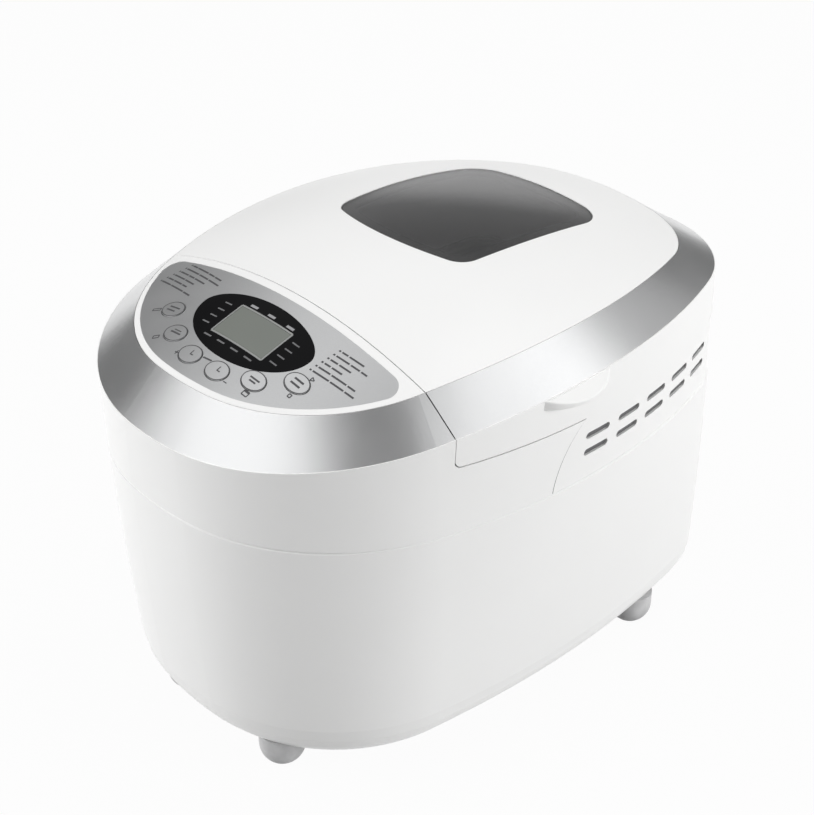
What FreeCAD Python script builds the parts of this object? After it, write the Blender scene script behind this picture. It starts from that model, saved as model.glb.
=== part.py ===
import FreeCAD, Part
import math
import os
import re

import Sketcher
from FreeCAD import Placement, Rotation, Vector

# Driving dimensions in millimetres: x to the right, y to the back, z up from the worktop.
SIZES = {
    # Body outline at the lower edge of the silver band
    "body_depth": 360,
    "body_half_width": 139.8,
    "side_radius": 313,
    "front_radius": 202,
    "rear_radius": 364,
    "front_corner": 122,
    "rear_corner": 87.5,
    # Body outline at the underside
    "base_half_width": 115.4,
    "base_front_inset": 14,
    "base_side_radius": 690,
    "base_front_radius": 210,
    "base_rear_radius": 318,
    "base_front_corner": 100,
    "base_rear_corner": 46,
    "base_rounding": 32,
    "base_opening_inset": 42,
    "underside_height": 13.3,
    "side_swell": 2.4,
    # Seams, band and crowned top
    "parting_height": 170,
    "split_height": 211,
    "lid_front": -84,
    "lid_corner": 4,
    "band_height": 237.3,
    "band_rise": 0.073,
    "band_arch": 11.5,
    "band_inset": 21.5,
    "band_reveal": 0.4,
    "band_ledge": 5,
    "crown_height": 276,
    "crown_rise": 0.053,
    "crown_side_drop": 29.7,
    "crown_end_drop": 39.6,
    "shell_wall": 2.5,
    "edge_chamfer": 0.8,
    "lid_gap": 0.8,
    "seam_gap": 0.6,
    "panel_gap": 0.3,
    # Side vents
    "vent_first": 13,
    "vent_pitch": 26.8,
    "vent_upper_height": 198,
    "vent_lower_height": 187.3,
    "vent_length": 19,
    "vent_width": 4.2,
    "vent_recess": 1,
    "vent_panel_front": -19,
    "vent_panel_rear": 168,
    "vent_panel_lean": 19,
    # Lid tab and hinge
    "tab_middle": -8.5,
    "tab_radius": 31,
    "tab_reach": 9.2,
    "tab_drop": 5.2,
    "tab_rim": 2,
    "tab_rounding": 0.8,
    "hinge_offset": 3.5,
    "hinge_front": -45,
    "hinge_rear": 35,
    "hinge_radius": 5,
    "hinge_pin_radius": 2,
    "hinge_length": 14,
    "hinge_lug_length": 9,
    "hinge_lug_height": 8,
    # Control panel
    "deck_thickness": 2.8,
    "panel_inset": 25,
    "panel_rear": -89,
    "panel_corner": 8,
    "panel_recess": 1,
    "panel_thickness": 0.8,
    "display_middle": 6.4,
    "display_back": -112,
    "display_half_width": 44,
    "display_front_reach": 25,
    "display_rear_reach": 15.7,
    "lcd_middle": 7.8,
    "lcd_back": -116,
    "lcd_length": 41,
    "lcd_width": 20,
    "lcd_rim": 1.5,
    "button_middle": 3,
    "button_arc_back": -64.7,
    "button_arc_radius": 80,
    "button_step": 16.5,
    "button_length": 16,
    "button_width": 11,
    "button_rise": 0.25,
    "button_flange": 1.2,
    "button_stem_radius": 2.5,
    "button_travel": 1,
    "board_tilt": 16,
    "board_length": 112,
    "board_width": 60,
    "board_post_side": 49,
    "board_post_reach": 18,
    "board_thickness": 1.6,
    "board_back": -118,
    "board_depth": 18,
    "switch_size": 6,
    "switch_height": 3.5,
    "switch_play": 1.25,
    "post_radius": 3,
    # Window in the lid
    "window_half_width": 54,
    "window_front": -18,
    "window_rear": 106,
    "window_side_radius": 600,
    "window_front_radius": 131,
    "window_rear_radius": 600,
    "window_front_corner": 14,
    "window_rear_corner": 20,
    "window_sink": 0.4,
    "frame_land": 8,
    "frame_thickness": 2,
    "liner_lift": 6,
    "liner_thickness": 2,
    "inner_glass_length": 96,
    "inner_glass_width": 116,
    "inner_glass_thickness": 3,
    "inner_glass_land": 6,
    "inner_glass_corner": 18,
    # Base, chassis and feet
    "base_plate_inset": 36,
    "base_plate_thickness": 2,
    "foot_radius": 13.5,
    "foot_flat": 1.2,
    "foot_top": 21,
    "front_foot_side": 44.5,
    "front_foot_back": -136,
    "rear_foot_side": 88.4,
    "rear_foot_back": 109,
    "chassis_length": 150,
    "chassis_width": 272,
    "chassis_corner": 40,
    "chassis_back": -9,
    "chassis_level": 40,
    "chassis_thickness": 2,
    "post_side": 66,
    "front_post_back": -40,
    "rear_post_back": 104,
    "chassis_post_radius": 5,
    "screw_radius": 1.5,
    "screw_head_radius": 3.2,
    "screw_head_height": 1.6,
    "screw_length": 8,
    "base_screw_side": 75,
    "base_screw_front": -40,
    "base_screw_rear": 60,
    "gland_side": 62,
    "gland_height": 46,
    "gland_radius": 7,
    "gland_flange_radius": 10,
    "gland_nose_radius": 8,
    "gland_bore_radius": 3.6,
    "gland_neck": 10,
    "gland_length": 14,
    "gland_sink": 12,
    "drill_length": 20,
    # Baking chamber
    "chamber_back": 48,
    "chamber_length": 176,
    "chamber_width": 210,
    "chamber_corner": 26,
    "chamber_wall": 1,
    "chamber_level": 56,
    "chamber_top": 203.5,
    "chamber_flange": 7,
    "chamber_hole_radius": 13,
    "deck_plate_thickness": 3,
    "ledge_width": 7,
    "bracket_side": 60,
    "bracket_reach": 70,
    "bracket_radius": 6,
    "heater_radius": 3.25,
    "heater_margin": 7,
    "heater_front_margin": 13,
    "heater_level": 80,
    "heater_lead_side": 20,
    "heater_lead_length": 17,
    "insulator_radius": 5,
    "insulator_flange_radius": 8,
    "insulator_length": 10,
    "insulator_reach": 4,
    "sensor_side": 46,
    "sensor_level": 120,
    "sensor_radius": 3,
    "sensor_length": 24,
    "sensor_flange_radius": 8,
    "sensor_flange_thickness": 2,
    "fuse_level": 150,
    "fuse_length": 18,
    "fuse_radius": 3.5,
    # Drive train
    "motor_back": -112,
    "motor_radius": 38,
    "motor_height": 74,
    "motor_boss_radius": 14,
    "motor_boss_height": 6,
    "motor_screw_reach": 28,
    "shaft_radius": 4,
    "shaft_play": 0.05,
    "shaft_end": 4,
    "pulley_level": 22,
    "pulley_width": 12,
    "pulley_lip": 1.5,
    "pulley_lip_width": 1.6,
    "large_pulley_radius": 55,
    "small_pulley_radius": 11,
    "pulley_hub_radius": 11,
    "pulley_rim": 5,
    "pulley_web": 4,
    "belt_play": 0.2,
    "belt_thickness": 2,
    "belt_width": 8,
    "bush_radius": 7,
    "bush_length": 8,
    "bearing_radius": 11,
    "bearing_drop": 4,
    "bearing_gap": 1,
    "bearing_flange_radius": 24,
    "bearing_flange_thickness": 3,
    "dog_level": 60,
    "dog_height": 7.5,
    "dog_radius": 7,
    "dog_reach": 20,
    "dog_width": 7,
    # Bread pan
    "pan_length": 150,
    "pan_width": 182,
    "pan_base_length": 138,
    "pan_base_width": 170,
    "pan_corner": 22,
    "pan_wall": 1.5,
    "pan_floor": 71,
    "pan_rim": 190,
    "pan_rim_width": 4,
    "pan_rim_height": 2,
    "pan_ring_radius": 46,
    "pan_ring_wall": 2,
    "clip_width": 24,
    "clip_height": 12,
    "clip_thickness": 1,
    "clip_foot": 10,
    "clip_gap": 0.5,
    "ear_height": 182,
    "ear_width": 22,
    "ear_drop": 12,
    "ear_thickness": 3.5,
    "ear_overlap": 2.5,
    "pivot_depth": 2.8,
    "handle_radius": 2.5,
    "handle_reach": 73,
    "handle_rest": 9.5,
    "handle_bend": 16,
    "handle_gap": 0.4,
    "pan_bush_radius": 9,
    "pan_bush_height": 11,
    "pan_bush_flange": 13,
    "pan_bush_flange_height": 2,
    "seal_radius": 8,
    "seal_height": 2.5,
    "coupling_reach": 20,
    "coupling_width": 7,
    "coupling_hub_radius": 7,
    "coupling_height": 2,
    "prong_inner": 12,
    "prong_depth": 7,
    "pan_shaft_top": 106,
    "paddle_level": 85,
    "paddle_hub_radius": 9,
    "paddle_hub_height": 24,
    "paddle_reach": 46,
    "paddle_thickness": 5,
    "paddle_height": 30,
    "paddle_slope": 18,
    # Power electronics
    "power_board_side": -64,
    "power_board_back": -92,
    "power_board_width": 54,
    "power_board_height": 78,
    "transformer_depth": 20,
    "transformer_width": 24,
    "transformer_height": 28,
    "transformer_lift": 16,
    "transformer_back": -80,
}

RAIL_STEPS = 8
ROUNDING_STEPS = 6
WALL_STEPS = 3
VENT_COUNT = 5
BUTTON_NAMES = (
    "program_button",
    "crust_button",
    "timer_up_button",
    "timer_down_button",
    "loaf_size_button",
    "start_stop_button",
)
SIDES = (-1, 1)
SCRATCH_CELL = "C1"
FAR = 400

doc = FreeCAD.newDocument("BreadMachine")
sheet = doc.addObject("Spreadsheet::Sheet", "Sizes")
for row, (alias, value) in enumerate(SIZES.items(), start=1):
    cell = f"A{row}"
    sheet.set(cell, str(value))
    sheet.setAlias(cell, alias)
doc.recompute()
sub_parts = []


def size(name):
    return float(sheet.get(name))


def number(formula):
    """Value of a formula written in the names of the sheet."""
    sheet.set(SCRATCH_CELL, "=" + formula)
    sheet.recompute()
    return float(sheet.get(SCRATCH_CELL))


def linked(formula):
    """The same formula with each name pointing at the sheet."""
    return re.sub(r"[a-z_]+", lambda word: "Sizes." + word.group(), formula)


def bind(item, **formulas):
    for name, formula in formulas.items():
        item.setExpression(name, linked(formula))
    return item


def place(item, x="0", y="0", z="0"):
    for axis, formula in zip("xyz", (x, y, z)):
        item.setExpression(f"Placement.Base.{axis}", linked(formula))
    return item


def keep(item, label):
    """Marks an object as a finished sub-part of the machine."""
    item.Label = label
    sub_parts.append(item)
    return item


# Parametric building blocks


def block(name, length, width, height, x="0", y="0", z="0"):
    """Box centred on x and y, standing on z."""
    item = bind(doc.addObject("Part::Box", name), Length=length, Width=width, Height=height)
    return place(item, f"({x}) - ({length}) / 2", f"({y}) - ({width}) / 2", z)


def rod(name, radius, length, x="0", y="0", z="0", turn=Rotation()):
    item = bind(doc.addObject("Part::Cylinder", name), Radius=radius, Height=length)
    item.Placement = Placement(Vector(), turn)
    return place(item, x, y, z)


TO_X = Rotation(Vector(0, 1, 0), 90)
TO_Y = Rotation(Vector(1, 0, 0), -90)


def fuse(name, *items):
    item = doc.addObject("Part::MultiFuse", name)
    item.Shapes = list(items)
    return item


def cut(name, base, *tools):
    item = doc.addObject("Part::Cut", name)
    item.Base = base
    item.Tool = tools[0] if len(tools) == 1 else fuse(name + "_tools", *tools)
    return item


def group(name, items):
    """Identical pieces kept as separate solids of one node."""
    item = doc.addObject("Part::Compound", name)
    item.Links = items
    return item


def sketch_on(body, role):
    sketch = body.newObject("Sketcher::SketchObject", body.Name + "_sketch")
    plane = next(item for item in body.Origin.OriginFeatures if item.Role == role)
    sketch.AttachmentSupport = (plane, [""])
    sketch.MapMode = "FlatFace"
    return sketch


def fix(sketch, kind, geometry, point, formula):
    """Holds one coordinate of a sketch point at a formula."""
    constraint = Sketcher.Constraint(kind, -1, 1, geometry, point, number(formula))
    index = sketch.addConstraint(constraint)
    sketch.setExpression(f"Constraints[{index}]", linked(formula))


def draw_polygon(sketch, corners):
    places = [Vector(number(x), number(y), 0) for x, y in corners]
    count = len(corners)
    for index in range(count):
        sketch.addGeometry(Part.LineSegment(places[index], places[(index + 1) % count]))
    for index in range(count):
        sketch.addConstraint(Sketcher.Constraint("Coincident", index, 2, (index + 1) % count, 1))
    for index, (x, y) in enumerate(corners):
        fix(sketch, "DistanceX", index, 1, x)
        fix(sketch, "DistanceY", index, 1, y)


def draw_rounded_rectangle(sketch, length, width, radius):
    """Four lines and four tangent arcs about the sketch's origin."""
    half_x = number(f"({length}) / 2")
    half_y = number(f"({width}) / 2")
    bend = number(radius)
    flat_x = half_x - bend
    flat_y = half_y - bend
    sides = (
        (Vector(-flat_x, -half_y), Vector(flat_x, -half_y), Vector(flat_x, -flat_y), -90),
        (Vector(half_x, -flat_y), Vector(half_x, flat_y), Vector(flat_x, flat_y), 0),
        (Vector(flat_x, half_y), Vector(-flat_x, half_y), Vector(-flat_x, flat_y), 90),
        (Vector(-half_x, flat_y), Vector(-half_x, -flat_y), Vector(-flat_x, -flat_y), 180),
    )
    for start, end, centre, angle in sides:
        sketch.addGeometry(Part.LineSegment(start, end))
        circle = Part.Circle(centre, Vector(0, 0, 1), bend)
        sketch.addGeometry(Part.ArcOfCircle(circle, math.radians(angle), math.radians(angle + 90)))
    for index in range(8):
        sketch.addConstraint(Sketcher.Constraint("Tangent", index, 2, (index + 1) % 8, 1))
    for index, kind in ((0, "Horizontal"), (2, "Vertical"), (4, "Horizontal"), (6, "Vertical")):
        sketch.addConstraint(Sketcher.Constraint(kind, index))
    for index in (3, 5, 7):
        sketch.addConstraint(Sketcher.Constraint("Equal", 1, index))
    radius_index = sketch.addConstraint(Sketcher.Constraint("Radius", 1, bend))
    sketch.setExpression(f"Constraints[{radius_index}]", linked(radius))
    fix(sketch, "DistanceY", 0, 1, f"-({width}) / 2")
    fix(sketch, "DistanceX", 2, 1, f"({length}) / 2")
    fix(sketch, "DistanceY", 4, 1, f"({width}) / 2")
    fix(sketch, "DistanceX", 6, 1, f"-({length}) / 2")


def turned(name, profile, x="0", y="0", z="0", turn=Rotation()):
    """Revolved body; its profile lists radius and height pairs."""
    body = doc.addObject("PartDesign::Body", name)
    sketch = sketch_on(body, "XZ_Plane")
    draw_polygon(sketch, profile)
    revolution = body.newObject("PartDesign::Revolution", name + "_turn")
    revolution.Profile = sketch
    revolution.ReferenceAxis = (sketch, ["V_Axis"])
    revolution.Angle = 360
    body.Placement = Placement(Vector(), turn)
    return place(body, x, y, z)


def sleeve(name, outer, inner, height, x="0", y="0", z="0", turn=Rotation()):
    profile = ((inner, "0"), (outer, "0"), (outer, height), (inner, height))
    return turned(name, profile, x, y, z, turn)


def rounded_block(name, length, width, height, radius, x="0", y="0", z="0"):
    body = doc.addObject("PartDesign::Body", name)
    sketch = sketch_on(body, "XY_Plane")
    draw_rounded_rectangle(sketch, length, width, radius)
    pad = body.newObject("PartDesign::Pad", name + "_pad")
    pad.Profile = sketch
    bind(pad, Length=height)
    return place(body, x, y, z)


def screw(name, x, y, z, turn=Rotation()):
    """Pan-head screw: its head is below z and its shank above."""
    profile = (
        ("0", "-screw_head_height"),
        ("screw_head_radius", "-screw_head_height"),
        ("screw_head_radius", "0"),
        ("screw_radius", "0"),
        ("screw_radius", "screw_length"),
        ("0", "screw_length"),
    )
    return turned(name, profile, x, y, z, turn)


# Curved shells, which follow the body's outline


def solid(name, shape):
    item = doc.addObject("Part::Feature", name)
    whole = shape.Solids[0] if len(shape.Solids) == 1 else shape
    item.Shape = whole
    item.Placement = whole.Placement
    return item


class Outline:
    """Closed oval of tangent arcs: bowed front, sides and rear with round corners."""

    def __init__(self, half_width, front, rear, side_radius, front_radius, rear_radius, corners):
        self.side_radius = side_radius
        self.front_radius = front_radius
        self.rear_radius = rear_radius
        self.front_corner, self.rear_corner = corners
        self.side = Vector(half_width - side_radius, 0)
        self.front = Vector(0, front + front_radius)
        self.rear = Vector(0, rear - rear_radius)

    def corner_centre(self, end, end_radius, corner_radius, toward):
        """Centre of the arc that touches a side and an end from inside."""
        span = end - self.side
        to_side = self.side_radius - corner_radius
        to_end = end_radius - corner_radius
        along = (to_side**2 - to_end**2 + span.Length**2) / (2 * span.Length)
        off = math.sqrt(to_side**2 - along**2)
        direction = Vector(span).normalize()
        across = Vector(-direction.y, direction.x)
        choices = [self.side + direction * along + across * off * sign for sign in SIDES]
        return max(choices, key=lambda centre: centre.y * toward)

    def arcs(self, inset=0.0):
        """Arcs as centre, radius, start and end angle, anticlockwise from the front."""
        front = self.corner_centre(self.front, self.front_radius, self.front_corner, -1)
        rear = self.corner_centre(self.rear, self.rear_radius, self.rear_corner, 1)

        def bearing(centre, corner):
            return math.atan2(corner.y - centre.y, corner.x - centre.x)

        at_front = bearing(self.front, front)
        side_start = bearing(self.side, front)
        side_end = bearing(self.side, rear)
        at_rear = bearing(self.rear, rear)
        half_turn = math.pi
        right = [
            (front, self.front_corner - inset, at_front, side_start),
            (self.side, self.side_radius - inset, side_start, side_end),
            (rear, self.rear_corner - inset, side_end, at_rear),
        ]
        left = [
            (Vector(-centre.x, centre.y), radius, half_turn - end, half_turn - start)
            for centre, radius, start, end in reversed(right)
        ]
        front_arc = (self.front, self.front_radius - inset, -half_turn - at_front, at_front)
        rear_arc = (self.rear, self.rear_radius - inset, at_rear, half_turn - at_rear)
        return [front_arc, *right, rear_arc, *left]

    def column(self, inset=0.0, middle=Vector()):
        """Tall solid standing on the outline."""
        edges = []
        for centre, radius, start, end in self.arcs(inset):
            circle = Part.Circle(centre, Vector(0, 0, 1), radius)
            edges.append(Part.ArcOfCircle(circle, start, end).toShape())
        face = Part.Face(Part.Wire(edges))
        face.translate(middle)
        return face.extrude(Vector(0, 0, FAR))


half_depth = size("body_depth") / 2
top_outline = Outline(
    size("body_half_width"),
    -half_depth,
    half_depth,
    size("side_radius"),
    size("front_radius"),
    size("rear_radius"),
    (size("front_corner"), size("rear_corner")),
)
base_outline = Outline(
    size("base_half_width"),
    -half_depth + size("base_front_inset"),
    half_depth,
    size("base_side_radius"),
    size("base_front_radius"),
    size("base_rear_radius"),
    (size("base_front_corner"), size("base_rear_corner")),
)


def band_edge(y):
    """Height of the band's lower edge, which rises to the back and arches."""
    return size("band_height") + size("band_rise") * y - size("band_arch") * (y / half_depth) ** 2


def crown(x, y):
    """Height of the crowned top."""
    ends = size("crown_end_drop") * (y / half_depth) ** 2
    sides = size("crown_side_drop") * (x / size("body_half_width")) ** 2
    return size("crown_height") + size("crown_rise") * y - ends - sides


def spline_wire(runs):
    edges = []
    for run in runs:
        curve = Part.BSplineCurve()
        curve.interpolate(run)
        edges.append(curve.toShape())
    return Part.Wire(edges)


def arc_points(arc):
    centre, radius, start, end = arc
    for step in range(RAIL_STEPS + 1):
        angle = start + (end - start) * step / RAIL_STEPS
        normal = Vector(math.cos(angle), math.sin(angle))
        yield centre + normal * radius, normal


def wall_rail(level, inset=0.0):
    """Closed curve round the side wall at a height."""
    runs = []
    for top_arc, base_arc in zip(top_outline.arcs(inset), base_outline.arcs(inset)):
        run = []
        for (top, outward), (base, _) in zip(arc_points(top_arc), arc_points(base_arc)):
            edge = band_edge(top.y)
            share = (edge - level) / (edge - size("underside_height"))
            swell = size("side_swell") * 4 * share * (1 - share)
            point = top * (1 - share) + base * share + outward * swell
            run.append(Vector(point.x, point.y, level))
        runs.append(run)
    return spline_wire(runs)


def band_rail(inset=0.0):
    """Closed curve along the band's lower edge."""
    runs = []
    for arc in top_outline.arcs(inset):
        runs.append([Vector(point.x, point.y, band_edge(point.y)) for point, _ in arc_points(arc)])
    return spline_wire(runs)


def crown_rail(inset, drop=0.0):
    """Closed curve on the crowned top or below it."""
    runs = []
    for arc in top_outline.arcs(inset):
        points = [point for point, _ in arc_points(arc)]
        runs.append([Vector(point.x, point.y, crown(point.x, point.y) - drop) for point in points])
    return spline_wire(runs)


def ring(rails):
    """Hollow ring whose section has its corners on the rails."""
    return Part.makeLoft(rails, True, True, True)


def crown_slab(drop, thickness):
    """Sheet that lies parallel to the crowned top."""
    reach_x = size("body_half_width")
    reach_y = half_depth
    side_drop = size("crown_side_drop")
    end_drop = size("crown_end_drop")
    rise = size("crown_rise") * reach_y
    surface = Part.BezierSurface()
    surface.increase(2, 2)
    across = ((-1, -side_drop), (0, side_drop), (1, -side_drop))
    along = ((-1, -rise - end_drop), (0, end_drop), (1, rise - end_drop))
    for column, (x, x_height) in enumerate(across, start=1):
        for row, (y, y_height) in enumerate(along, start=1):
            height = size("crown_height") + x_height + y_height - drop
            surface.setPole(column, row, Vector(x * reach_x, y * reach_y, height))
    return surface.toShape().extrude(Vector(0, 0, -thickness))


def region(low, high):
    """Box between two corners."""
    return Part.makeBox(high.x - low.x, high.y - low.y, high.z - low.z, low)


def behind(y, bottom=0.0):
    return region(Vector(-FAR, y, bottom), Vector(FAR, FAR, FAR))


def before(y, bottom=0.0):
    return region(Vector(-FAR, -FAR, bottom), Vector(FAR, y, FAR))


def lid_space(front, bottom, corner):
    """Space behind the seam and above the split, with its lower front edge rounded."""
    box = behind(front, bottom)
    edges = [edge for edge in box.Edges if edge.CenterOfMass.isEqual(Vector(0, front, bottom), 0.1)]
    return box.makeFillet(corner, edges)


def pill(x, y, length, width, grow=0.0):
    """Tall oval column for a button and its holes."""
    curve = Part.Ellipse(Vector(x, y, 0), length / 2 + grow, width / 2 + grow)
    return Part.Face(Part.Wire(curve.toShape())).extrude(Vector(0, 0, FAR))


def upright(radius, x, y, bottom, top):
    return Part.makeCylinder(radius, top - bottom, Vector(x, y, bottom))


wall = size("shell_wall")
parting = size("parting_height")
split = size("split_height")
underside = size("underside_height")
chamfer = size("edge_chamfer")
deck = size("deck_thickness")
lid_start = size("lid_front") + size("seam_gap") / 2
deck_end = size("lid_front") - size("seam_gap") / 2
hinge_x = -size("body_half_width") - size("hinge_offset")
hinge_z = split + size("lid_gap") / 2


wall_core = Part.makeLoft([wall_rail(parting, wall / 2), wall_rail(band_edge(0), wall / 2)], True, True)


def interior(bottom):
    """Space inside the shells above a height, half-way into their walls."""
    half = wall / 2
    ledge = size("band_inset") + size("band_ledge")
    deep = ledge + size("band_ledge")
    rim = ring(
        [
            wall_rail(bottom, half),
            band_rail(half),
            crown_rail(ledge, deck + half),
            crown_rail(deep, deck + half),
            wall_rail(bottom, deep),
        ]
    )
    middle = top_outline.column(deep - half).common(behind(-FAR, bottom))
    return rim.fuse(middle.common(crown_slab(deck, FAR / 4)))


# Lower housing, base plate and feet


def rounded_base(inset):
    """Rails round the base rounding, from its upper edge to the flat underside."""
    radius = size("base_rounding") - inset
    rails = []
    for step in range(ROUNDING_STEPS + 1):
        angle = math.pi / 2 * step / ROUNDING_STEPS
        level = underside + inset + radius * (1 - math.sin(angle))
        rails.append(wall_rail(level, inset + radius * (1 - math.cos(angle))))
    return rails


def wall_levels(top):
    """Heights between a top edge and the base rounding."""
    bottom = underside + size("base_rounding")
    return [top + (bottom - top) * step / WALL_STEPS for step in range(1, WALL_STEPS)]


def lower_form(inset):
    """Outer rails of the lower housing from the parting line down."""
    return [wall_rail(level, inset) for level in wall_levels(parting)] + rounded_base(inset)


def make_lower_housing(gland_hole, screw_holes):
    opening = size("base_opening_inset")
    outer = [wall_rail(parting, chamfer), wall_rail(parting - chamfer)] + lower_form(0)
    inner = [wall_rail(parting, wall)] + lower_form(wall)
    rails = outer + [wall_rail(underside, opening), wall_rail(underside + wall, opening)]
    shape = ring(rails + inner[::-1])
    return shape.cut(gland_hole).cut(screw_holes)


def foot(name, x, y):
    """Domed rubber foot, still without the flat that rests on the worktop."""
    middle = "foot_radius - foot_flat"
    dome = bind(doc.addObject("Part::Sphere", name + "_dome"), Radius="foot_radius")
    neck = rod(name + "_neck", "foot_radius", f"foot_top - ({middle})", x, y, middle)
    return fuse(name, place(dome, x, y, middle), neck)


base_screws = []
for side, mark in zip(SIDES, ("left", "right")):
    for end in ("front", "rear"):
        across = f"{side} * base_screw_side"
        base_screws.append(screw(f"base_screw_{mark}_{end}", across, f"base_screw_{end}", "underside_height"))
base_screw_group = keep(group("base_screw_group", base_screws), "base_screws")

gland_profile = (
    ("gland_bore_radius", "0"),
    ("gland_radius", "0"),
    ("gland_radius", "gland_neck"),
    ("gland_flange_radius", "gland_neck"),
    ("gland_nose_radius", "gland_length"),
    ("gland_bore_radius", "gland_length"),
)
gland_start = "body_depth / 2 - gland_sink"
gland_blank = turned("gland_blank", gland_profile, "gland_side", gland_start, "gland_height", TO_Y)
doc.recompute()

gland_place = Vector(size("gland_side"), 0, size("gland_height"))
gland_hole = Part.makeCylinder(size("gland_radius"), FAR, gland_place, Vector(0, 1, 0))
lower_shape = make_lower_housing(gland_hole, base_screw_group.Shape)
lower_housing = keep(solid("lower_shell", lower_shape), "lower_housing")
keep(cut("gland_cut", gland_blank, lower_housing), "cord_gland")

filled_base = Part.makeLoft([wall_rail(parting)] + lower_form(0), True, True)
worktop = block("worktop", "2 * body_depth", "2 * body_depth", "body_depth", z="-body_depth")
foot_limits = fuse("foot_limits", solid("base_filling", filled_base), worktop)
feet = []
for side, mark in zip(SIDES, ("left", "right")):
    for end in ("front", "rear"):
        blank = foot(f"foot_blank_{mark}_{end}", f"{side} * {end}_foot_side", f"{end}_foot_back")
        feet.append(cut(f"foot_{mark}_{end}", blank, foot_limits))
keep(group("foot_group", feet), "rubber_feet")

plate_bottom = underside + wall
plate_face = base_outline.column(size("base_plate_inset"))
plate_top = plate_bottom + size("base_plate_thickness")
plate_space = region(Vector(-FAR, -FAR, plate_bottom), Vector(FAR, FAR, plate_top))
base_plate = solid("base_sheet", plate_face.common(plate_space))
keep(cut("base_sheet_drilled", base_plate, base_screw_group), "base_plate")


# Upper housing with its vents, ledge and hinge knuckles


def vent_slot(y, z):
    """Long slot through the right-hand wall."""
    radius = size("vent_width") / 2
    reach = size("vent_length") / 2 - radius
    start = size("chamber_length") / 2 + size("chamber_flange")
    ends = []
    for side in SIDES:
        ends.append(Part.makeCylinder(radius, FAR, Vector(start, y + reach * side, z), Vector(1, 0, 0)))
    middle = region(Vector(start, y - reach, z - radius), Vector(start + FAR, y + reach, z + radius))
    return middle.multiFuse(ends)


def vent_recess():
    """Shallow panel round the vents, open to the seams above and below it."""
    depth = size("vent_recess")
    upper_rails = [wall_rail(split, -wall), wall_rail(split, depth)]
    lower_rails = [wall_rail(parting, depth), wall_rail(parting, -wall)]
    sheet_ring = ring(upper_rails + lower_rails)
    front = size("vent_panel_front")
    rear = size("vent_panel_rear")
    curve_end = front + size("vent_panel_lean")
    corners = [Vector(0, front, parting), Vector(0, curve_end, split)]
    half_way = Vector(0, front + size("vent_panel_lean") / 4, (parting + split) / 2)
    bend = Part.Arc(corners[0], half_way, corners[1])
    outline = [
        bend.toShape(),
        Part.makeLine(corners[1], Vector(0, rear, split)),
        Part.makeLine(Vector(0, rear, split), Vector(0, rear, parting)),
        Part.makeLine(Vector(0, rear, parting), corners[0]),
    ]
    window = Part.Face(Part.Wire(outline)).extrude(Vector(FAR, 0, 0))
    return sheet_ring.common(window)


def hinge_knuckle(start, length, low, high):
    """Barrel round the hinge axis with a lug that reaches into the wall."""
    barrel = Part.makeCylinder(size("hinge_radius"), length, Vector(hinge_x, start, hinge_z), Vector(0, 1, 0))
    lug = region(Vector(hinge_x, start, low), Vector(hinge_x / 2, start + length, high))
    return barrel.fuse(lug.cut(wall_core))


def pin_hole(play=0.0):
    """Bore along the whole hinge."""
    radius = size("hinge_pin_radius") + play
    return Part.makeCylinder(radius, 2 * FAR, Vector(hinge_x, -FAR, hinge_z), Vector(0, 1, 0))


def hinge_middles():
    return [size("hinge_front"), size("hinge_rear")]


def make_upper_housing():
    shape = ring(
        [
            wall_rail(parting, chamfer),
            wall_rail(parting + chamfer),
            band_rail(),
            band_rail(wall),
            wall_rail(parting, wall),
        ]
    )
    ledge_top = size("chamber_top") - size("deck_plate_thickness")
    ledge_end = wall + size("ledge_width")
    ledge = ring(
        [
            wall_rail(ledge_top, wall / 2),
            wall_rail(ledge_top, ledge_end),
            wall_rail(ledge_top - wall, ledge_end),
            wall_rail(ledge_top - wall, wall / 2),
        ]
    )
    shape = shape.cut(lid_space(size("lid_front"), split, size("lid_corner"))).fuse(ledge)
    slots = []
    for column in range(VENT_COUNT):
        y = size("vent_first") + column * size("vent_pitch")
        slots += [vent_slot(y, size(f"vent_{row}_height")) for row in ("upper", "lower")]
    shape = shape.cut([vent_recess(), *slots])
    length = size("hinge_length")
    low = split - size("hinge_lug_height")
    knuckles = [hinge_knuckle(middle - length / 2, length, low, split) for middle in hinge_middles()]
    return shape.multiFuse(knuckles).cut(pin_hole())


upper_shape = make_upper_housing()
upper_housing = keep(solid("upper_shell", upper_shape), "upper_housing")

pins = []
for mark in ("front", "rear"):
    length = "hinge_length + 2 * hinge_lug_length + 2 * panel_gap"
    pins.append(
        rod(
            f"hinge_pin_{mark}",
            "hinge_pin_radius",
            length,
            "-body_half_width - hinge_offset",
            f"hinge_{mark} - ({length}) / 2",
            "split_height + lid_gap / 2",
            TO_Y,
        )
    )
keep(group("hinge_pin_group", pins), "hinge_pins")


# Silver band, in a fixed front part and a part on the lid


def band_ring():
    inset = size("band_inset")
    ledge = inset + size("band_ledge")
    return ring(
        [
            band_rail(size("band_reveal")),
            crown_rail(inset),
            crown_rail(inset, deck),
            crown_rail(ledge, deck),
            crown_rail(ledge, deck + wall),
            band_rail(wall),
        ]
    )


whole_band = band_ring()
front_band_shape = whole_band.common(before(deck_end))
lid_band_shape = whole_band.common(behind(lid_start))
keep(solid("front_band_ring", front_band_shape), "front_band")
keep(solid("lid_band_ring", lid_band_shape), "lid_band")


# Lid: crowned top, skirt with tab and hinge lugs, window and liner

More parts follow.
